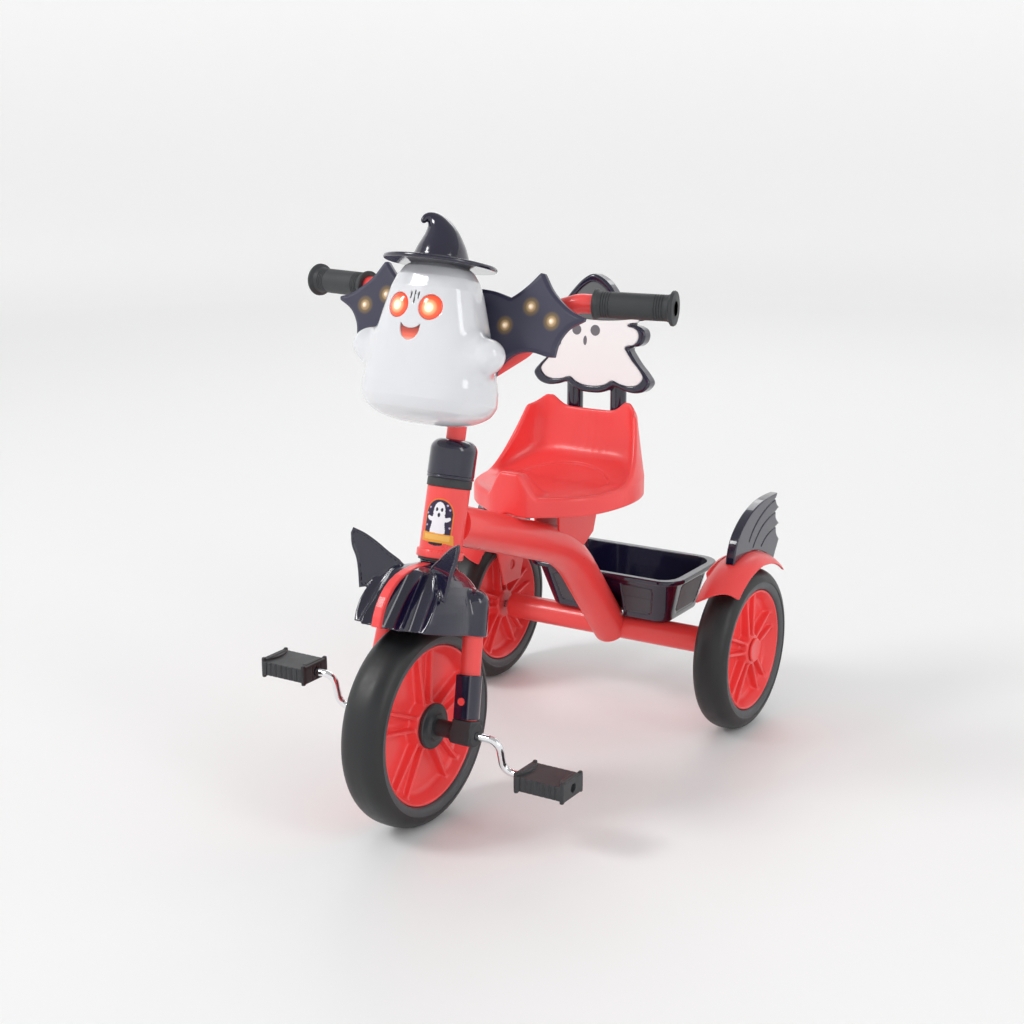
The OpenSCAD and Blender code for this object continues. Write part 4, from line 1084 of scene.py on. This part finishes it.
def tube_room(x, y, z):
    """Distance from the main tube's middle line at its foot, measured as a square."""
    across = (y - ry + FOOT_AHEAD) * math.sin(SLOPE) + (z - rz + FOOT_DOWN) * math.cos(SLOPE)
    return np.maximum(np.abs(across), np.abs(x))


def basket_shape(x, y, z):
    d = tub(x, y, z)
    recess = np.where(np.abs(x) > 84, flank_field(y, z), front_field(x, z))
    outer = smax(d + 0.9 * step(-recess / 1.6), TUB_LOW - z, 5)
    outer = smax(outer, z - TUB_HIGH + 2, 1)
    rim = slab_distance(rounded_box(x, y - ry - 30, 119.6, 75.6, 30), z, TUB_HIGH - 7.2, TUB_HIGH, 2.3)
    shape = smin(outer, rim, 2.5)
    shape = smax(shape, -smax(d + 2.6, TUB_LOW + 2.6 - z, 4), 0.9)
    tunnel = tube_room(x, y, z)
    sheath = np.maximum(tunnel - MAIN_R - 4.2, smax(d + 0.4, TUB_LOW - z, 1))
    return smax(smin(shape, sheath, 2), -(tunnel - MAIN_R - 1.6), 0.6)


cast("basket_tub", basket_shape, (-123, ry - 49, TUB_LOW - 3), (123, ry + 109, TUB_HIGH + 3), 1.55, FLOOR, "frame",
     "navy_plastic",
     stands_for=["basket"])
basket_panel = moulded("basket_panel", linear(74, 76, 82), 0.45)
for side, s in (("left", 1), ("right", -1)):
    def insert(x, y, z, s=s):
        return smax(slab_distance(flank_field(y, z, 2.5, 6), tub(x, y, z), -1.6, -0.35, 0.4), -s * x + 80, 0.4)
    cast("basket_inset_" + side, insert, (min(s * 90, s * 112), ry - 6, TUB_LOW + 8),
         (max(s * 90, s * 112), ry + 78, TUB_LOW + 58), 1.0,
         FLOOR, "frame", "navy_plastic", basket_panel)


def front_insert(x, y, z):
    face = slab_distance(front_field(x, z, 2.5, 6), tub(x, y, z), -1.6, -0.35, 0.4)
    return smax(smax(face, y - ry - 20, 0.4), MAIN_R + 6 - tube_room(x, y, z), 0.4)


cast("basket_inset_front", front_insert, (-84, ry - 42, TUB_LOW + 8), (84, ry - 10, TUB_LOW + 58), 1.0, FLOOR,
     "frame", "navy_plastic", basket_panel)

# ---------- mudguards and fins ----------
GUARD_X, GUARD_EDGE, GUARD_CROWN = WHEEL_X + 1, REAR_R + 8, REAR_R + 23


def guard_arch(x, r, size):
    """Distance from the round back of the guard, at radius r from the axle."""
    return np.hypot(x - GUARD_X, r - (GUARD_CROWN - 37.5)) - size


def guard(side, flip):
    def shape(x, y, z):
        r = np.hypot(y, z)
        arch = guard_arch(x, r, 37.3)
        sheet = smax(arch, -(arch + 3.2), 0.8)
        sheet = smax(sheet, GUARD_EDGE + 0.1 - r, 0.8)
        angle = np.degrees(np.arctan2(z, y))
        front = (angle - 129.5 - 7 * step((GUARD_X - x + 20) / 44)) * 2.1
        back = (54.0 - angle) * 2.1
        sheet = smax(sheet, np.maximum(front, back), 1.2)
        wedge = np.maximum(np.maximum(r - GUARD_EDGE - 4, 36 - z), np.abs(y + 2) - 30 - (z - 60) * 0.32)
        plate = slab_distance(wedge, x, WHEEL_X - 31.6, WHEEL_X - 28.4, 0.8)
        plate = smax(plate, -(np.hypot(y + 2, z - 62) - 7), 0.8)
        return smin(sheet, plate, 2.5)

    cast("guard_" + side, shape, (WHEEL_X - 34, -104, 20), (WHEEL_X + 34, 96, GUARD_CROWN + 3), 1.5, REAR @ flip,
         "frame", "red_plastic",
         stands_for=["mudguard_" + side])
    curved = [(-46.5, 98), (-43, 126), (-38, 146), (-29, 161), (-14, 174), (6, 185), (28, 192), (50, 196), (74, 197),
              (97.5, 196.4)]
    tips = ([(97.5, 196.4), (91, 190), (95, 181.5), (104, 174.6)], [(104, 174.6), (94, 172), (93, 163), (106, 151.2)],
            [(106, 151.2), (96, 149.5), (96.5, 140), (106.6, 129)])
    fin_line = np.vstack([smooth_line(curved, 4)] + [smooth_line(run, 3)[1:] for run in tips]
                         + [[(96, 114), (86, 98)]])
    feathers = [smooth_line([(91.5, 189.5), (66, 185), (40, 176), (18, 163), (4, 149)], 6),
                smooth_line([(92.5, 171), (70, 168), (46, 160), (28, 148), (18, 138)], 6),
                smooth_line([(94.5, 149), (76, 147), (58, 141), (46, 133)], 6)]

    def fin_shape(x, y, z):
        flat = polygon_distance(y, z, fin_line)
        fin = slab_distance(flat, x, WHEEL_X - 6.9, WHEEL_X + 5.9, 1.6)
        groove = nearest(line_distance(y, z, line) for line in feathers)
        fin = smax(fin, -np.maximum(groove - 1.0, 5.2 - np.abs(x - WHEEL_X + 0.5)), 1.0)
        r = np.hypot(y, z)
        return smax(fin, -np.minimum(guard_arch(x, r, 37.9), r - GUARD_EDGE), 0.6)

    cast("fin_shell_" + side, fin_shape, (WHEEL_X - 9, -50, 94), (WHEEL_X + 8, 110, 200), 1.15, REAR @ flip, "frame",
         "navy_plastic",
         stands_for=["fin_" + side])


both(guard)

# ---------- wings ----------
wing_line = np.vstack([
    smooth_line([(28, 60), (60, 60), (66, 74), (85, 92), (106, 96.5), (128, 93), (136.5, 93.3)], 4),
    smooth_line([(136.5, 93.3), (139.5, 110), (150, 126), (168, 136.5)], 5)[1:], [(169, 140.5)],
    smooth_line([(169, 140.5), (152, 146.5), (136.5, 156.5), (122.5, 169), (113, 182), (110, 186)], 4)[1:],
    [(105.5, 186.5)], smooth_line([(105.5, 186.5), (94, 174), (80, 162), (71, 156)], 4)[1:],
    smooth_line([(71, 156), (60, 159), (46, 162), (25, 163.5)], 4)[1:]])
lamp_spots = np.array([(69, 124), (100, 147.5), (129, 133)])
halo_stops = [(0.0, linear(255, 240, 214)), (0.16, linear(226, 206, 184)), (0.36, linear(176, 146, 104)),
              (0.60, linear(112, 92, 64)), (1.0, linear(52, 51, 74))]
halo_light = [(0.0, linear(255, 236, 208)), (0.16, linear(190, 160, 120)), (0.36, linear(110, 84, 46)),
              (0.60, linear(36, 26, 12)), (1.0, linear(0, 0, 0))]
wing_satin = moulded("wing_satin", linear(52, 51, 74), 0.36, coat=0.15, tint=painted_by("halo", halo_stops),
                     glow=glowing("halo", halo_light, 0.35))


def halo(x, w, u):
    """How far a point on the wing's front is from the nearest lamp, as a share of its halo."""
    reach = np.min([np.hypot(np.abs(x) - a, u - GHOST_U - b) for a, b in lamp_spots], axis=0) / 12.5
    return np.where(w < -34, np.clip(reach, 0, 1), 1.0)


def wing(side, flip):
    def shape(x, w, u):
        flat = polygon_distance(x, u - GHOST_U, wing_line)
        plate = slab_distance(flat, w, -37.4, -28.2, 1.1)
        bowed = smax(plate, -37.4 + 2.0 * step((flat + 5) / 5) - w, 1.0)
        return smax(bowed, -(ghost_body(x, w, u) + 1.5), 0.8)

    cast("wing_plate_" + side, shape, (26, -40, GHOST_U + 56), (172, -26, GHOST_U + 190), 1.15, STEER @ flip,
         "steering", "navy_plastic", wing_satin,
         values={"halo": halo}, stands_for=["wing_" + side])


both(wing)


def lamps(x, w, u):
    domes = nearest(np.sqrt((np.abs(x) - a) ** 2 + (w + 34.2) ** 2 + (u - GHOST_U - b) ** 2) for a, b in lamp_spots)
    return smax(domes - 5.0, w + 36.6, 0.4)


lamp_warm = moulded("lamp_warm", linear(255, 240, 220), 0.25, coat=0.3, tint=painted_by("halo", halo_stops),
                    glow=glowing("halo", halo_light, 0.5))
cast("lamp_domes", lamps, (-136, -41, GHOST_U + 116), (136, -35, GHOST_U + 155), 0.8, STEER, "steering", "lamp_warm",
     lamp_warm,
     values={"halo": halo}, stands_for=["wing_lamps"])

# ---------- head tube badge ----------
BADGE_MID, BADGE_W = math.radians(16), 18.6
arch_top = [(BADGE_W * math.cos(t), 24 + 21 * math.sin(t)) for t in np.linspace(0, math.pi, 21)[1:]]
arch_line = np.array([(-BADGE_W, 0), (BADGE_W, 0), (BADGE_W, 24)] + arch_top)
ghost_line = smooth_line([(-9, 4), (9, 4), (8.2, 12), (8, 17), (11.5, 18), (14.5, 21), (13.5, 23.5), (9.5, 22.4),
                          (7.4, 23), (7, 30), (5.6, 36), (2.6, 39.6), (0, 40.2),
                          (-2.6, 39.6), (-5.6, 36), (-7, 30), (-7.4, 23), (-9.5, 22.4), (-13.5, 23.5), (-14.5, 21),
                          (-11.5, 18), (-8, 17), (-8.2, 12)], 3, closed=True)
ribbon_line = np.array([(-20.4, -7), (-20.4, 4.6), (20.4, 2.8), (22.6, -9.4), (18, -9), (12, -8), (0, -7.5)])


def badge(x, y):
    """Colour of the badge at a place on it."""
    colours = np.tile(np.array(linear(240, 120, 26)), (len(x), 1))

    def fill(flag, colour):
        colours[flag] = linear(*colour)
    fill(polygon_distance(x, y, arch_line) < -1.9, (40, 22, 62))
    for dx, dy in ((-12, 33), (12.5, 32), (-14.5, 12), (14.5, 11), (9, 37), (-15, 26)):
        fill((np.hypot(x - dx, y - dy) < 1.25) & (y > 4), (196, 178, 214))
    fill(polygon_distance(x, y, ghost_line) < 0, (244, 240, 246))
    for dx in (-3.1, 3.1):
        fill(np.hypot((x - dx) / 1.5, (y - 31.5) / 2.3) < 1, (36, 22, 50))
    fill(np.hypot(x / 1.7, (y - 25) / 2.6) < 1, (36, 22, 50))
    low = y < 4.4 - 0.044 * (x + 20)
    fill(low, (238, 158, 52))
    fill(low & (y < -7.2) & (x < 8), (30, 18, 34))
    fill(low & (np.abs(y + 1.4 + 0.03 * x) < 3.1) & (np.abs(x) < 16), (244, 186, 92))
    return colours


def wrapped(u0):
    """The badge as a thin plate bent round the head tube, with the colour of each of its points."""
    nx, ny = 96, 120
    xs, ys = np.linspace(-23, 23, nx), np.linspace(-12, 46, ny)
    X, Y = np.meshgrid(xs, ys, indexing="ij")
    oval = np.hypot(X / 9.5, (Y + 8.5) / 2.6) - 1
    inside = np.minimum(np.minimum(polygon_distance(X, Y, arch_line), polygon_distance(X, Y, ribbon_line)),
                        oval * 2.6) < 0
    cell = inside[:-1, :-1] & inside[1:, :-1] & inside[:-1, 1:] & inside[1:, 1:]
    used = np.zeros((nx, ny), bool)
    for i, j in ((0, 0), (1, 0), (0, 1), (1, 1)):
        used[i:nx - 1 + i, j:ny - 1 + j] |= cell
    index = -np.ones((nx, ny), int)
    index[used] = np.arange(used.sum())
    x, y = X[used], Y[used]
    turn = x / HEAD_R + BADGE_MID
    top, base = (np.column_stack((r * np.sin(turn), -r * np.cos(turn), u0 + y)) for r in (25.95, 25.3))
    n = len(x)
    faces = []
    for i, j in np.argwhere(cell):
        a, b, c, d = index[i, j], index[i + 1, j], index[i + 1, j + 1], index[i, j + 1]
        faces += [(a, b, c, d), (n + d, n + c, n + b, n + a)]
    edges = dict.fromkeys((p, q) for face in faces if face[0] < n for p, q in zip(face, face[1:] + face[:1]))
    faces += [(q, p, n + p, n + q) for p, q in edges if (q, p) not in edges]
    return np.vstack((top, base)), faces, np.tile(badge(x, y), (2, 1))


badge_points, badge_faces, badge_colours = wrapped(HEAD_U + 26)
badge_print = moulded("badge_print", linear(240, 120, 26), 0.35, tint=lambda nodes, links,
                      base: attribute(nodes, "print", "Color"))
label = piece("head_badge", badge_points, badge_faces, STEER, "frame", "red_paint", badge_print, sharp=60)
layer = label.data.attributes.new("print", "FLOAT_COLOR", "POINT")
layer.data.foreach_set("color",
                       np.column_stack((badge_colours[:, :3],
                                        np.ones(len(badge_colours)))).ravel().astype(np.float32))


# ---------- stage, light and camera ----------
BACKDROP_LIFT = 0.27
WORLD_STRENGTH = 0.53


def stage():
    """A pale floor that rises into a round backdrop; far-off parts are lifted a little, as in a lit studio."""
    profile = smooth_line([(0, 0), (0, 1500), (0, 3000), (0, 4200), (0, 5200), (250, 6600), (1300, 7600),
                           (3200, 8000), (5200, 8100)], 8)
    points, faces = lathe(profile[1:], axis="z")
    n = len(profile) - 1
    faces = [f for f in faces if {i % n for i in f} != {0, n - 1}]      # the ring that would close it underneath
    faces.append(tuple(k * n for k in range(96)))
    mesh = bpy.data.meshes.new("stage_floor")
    mesh.from_pydata([tuple(c * MM for c in p) for p in points], [], faces)
    mesh.update()
    mesh.shade_smooth()
    floor = bpy.data.objects.new("stage_floor", mesh)
    bpy.context.scene.collection.objects.link(floor)
    far = np.array([math.hypot(p[0], p[1]) for p in points])
    high = np.array([p[2] for p in points])
    share = step((far - 2600) / 3600) * 0.55 + step(high / 2500) * 0.45
    layer = mesh.attributes.new("far", "FLOAT", "POINT")
    layer.data.foreach_set("value", share.astype(np.float32))
    lift = [(0.0, linear(0, 0, 0)), (1.0, (BACKDROP_LIFT,) * 3 + (1.0,))]
    mesh.materials.append(moulded("floor_white", linear(246, 246, 246), 0.5, tone=0.0, vary=0.02, peel=(3, 0.0),
                                  grain=(5, 0.0), glow=glowing("far", lift, 1.0)))


def area_light(name, at, size, watts, aim=(0, 0, 0.3)):
    data = bpy.data.lights.new(name, "AREA")
    data.shape = "RECTANGLE"
    data.size, data.size_y = size
    data.energy = watts
    obj = bpy.data.objects.new(name, data)
    bpy.context.scene.collection.objects.link(obj)
    obj.location = at
    obj.rotation_mode = "QUATERNION"
    obj.rotation_quaternion = (Vector(aim) - Vector(at)).to_track_quat("-Z", "Y")


stage()
area_light("key_light", (-2.4, -2.6, 3.4), (1.2, 1.2), 72)
area_light("side_light", (3.2, -0.8, 2.2), (0.9, 2.2), 20)
area_light("back_light", (-1.0, 3.4, 2.8), (3.0, 1.4), 26)

world = bpy.data.worlds.new("studio")
bpy.context.scene.world = world
world.use_nodes = True
background = world.node_tree.nodes["Background"]
background.inputs["Color"].default_value = (1, 1, 1, 1)
background.inputs["Strength"].default_value = WORLD_STRENGTH

bpy.context.scene.view_settings.view_transform = "Standard"

CAMERA_AT = Vector((1.1103, -1.8263, 0.8905))
AZIMUTH, PITCH = math.radians(31.6), math.radians(14.7)
look = Vector((-math.sin(AZIMUTH) * math.cos(PITCH), math.cos(AZIMUTH) * math.cos(PITCH), -math.sin(PITCH)))
camera_data = bpy.data.cameras.new("camera")
camera_data.sensor_width = 36
camera_data.lens = 61.33
camera = bpy.data.objects.new("camera", camera_data)
bpy.context.scene.collection.objects.link(camera)
camera.location = CAMERA_AT
camera.rotation_mode = "QUATERNION"
camera.rotation_quaternion = look.to_track_quat("-Z", "Y")
bpy.context.scene.camera = camera

# ---------- CAD nodes that stay get their slot's finish ----------
for row in frame["record"]["subparts"]:
    obj = frame["nodes"][row["node"]]
    if not obj.hide_render:
        obj.data.materials.clear()
        obj.data.materials.append(FINISHES[row["material_slot"]])
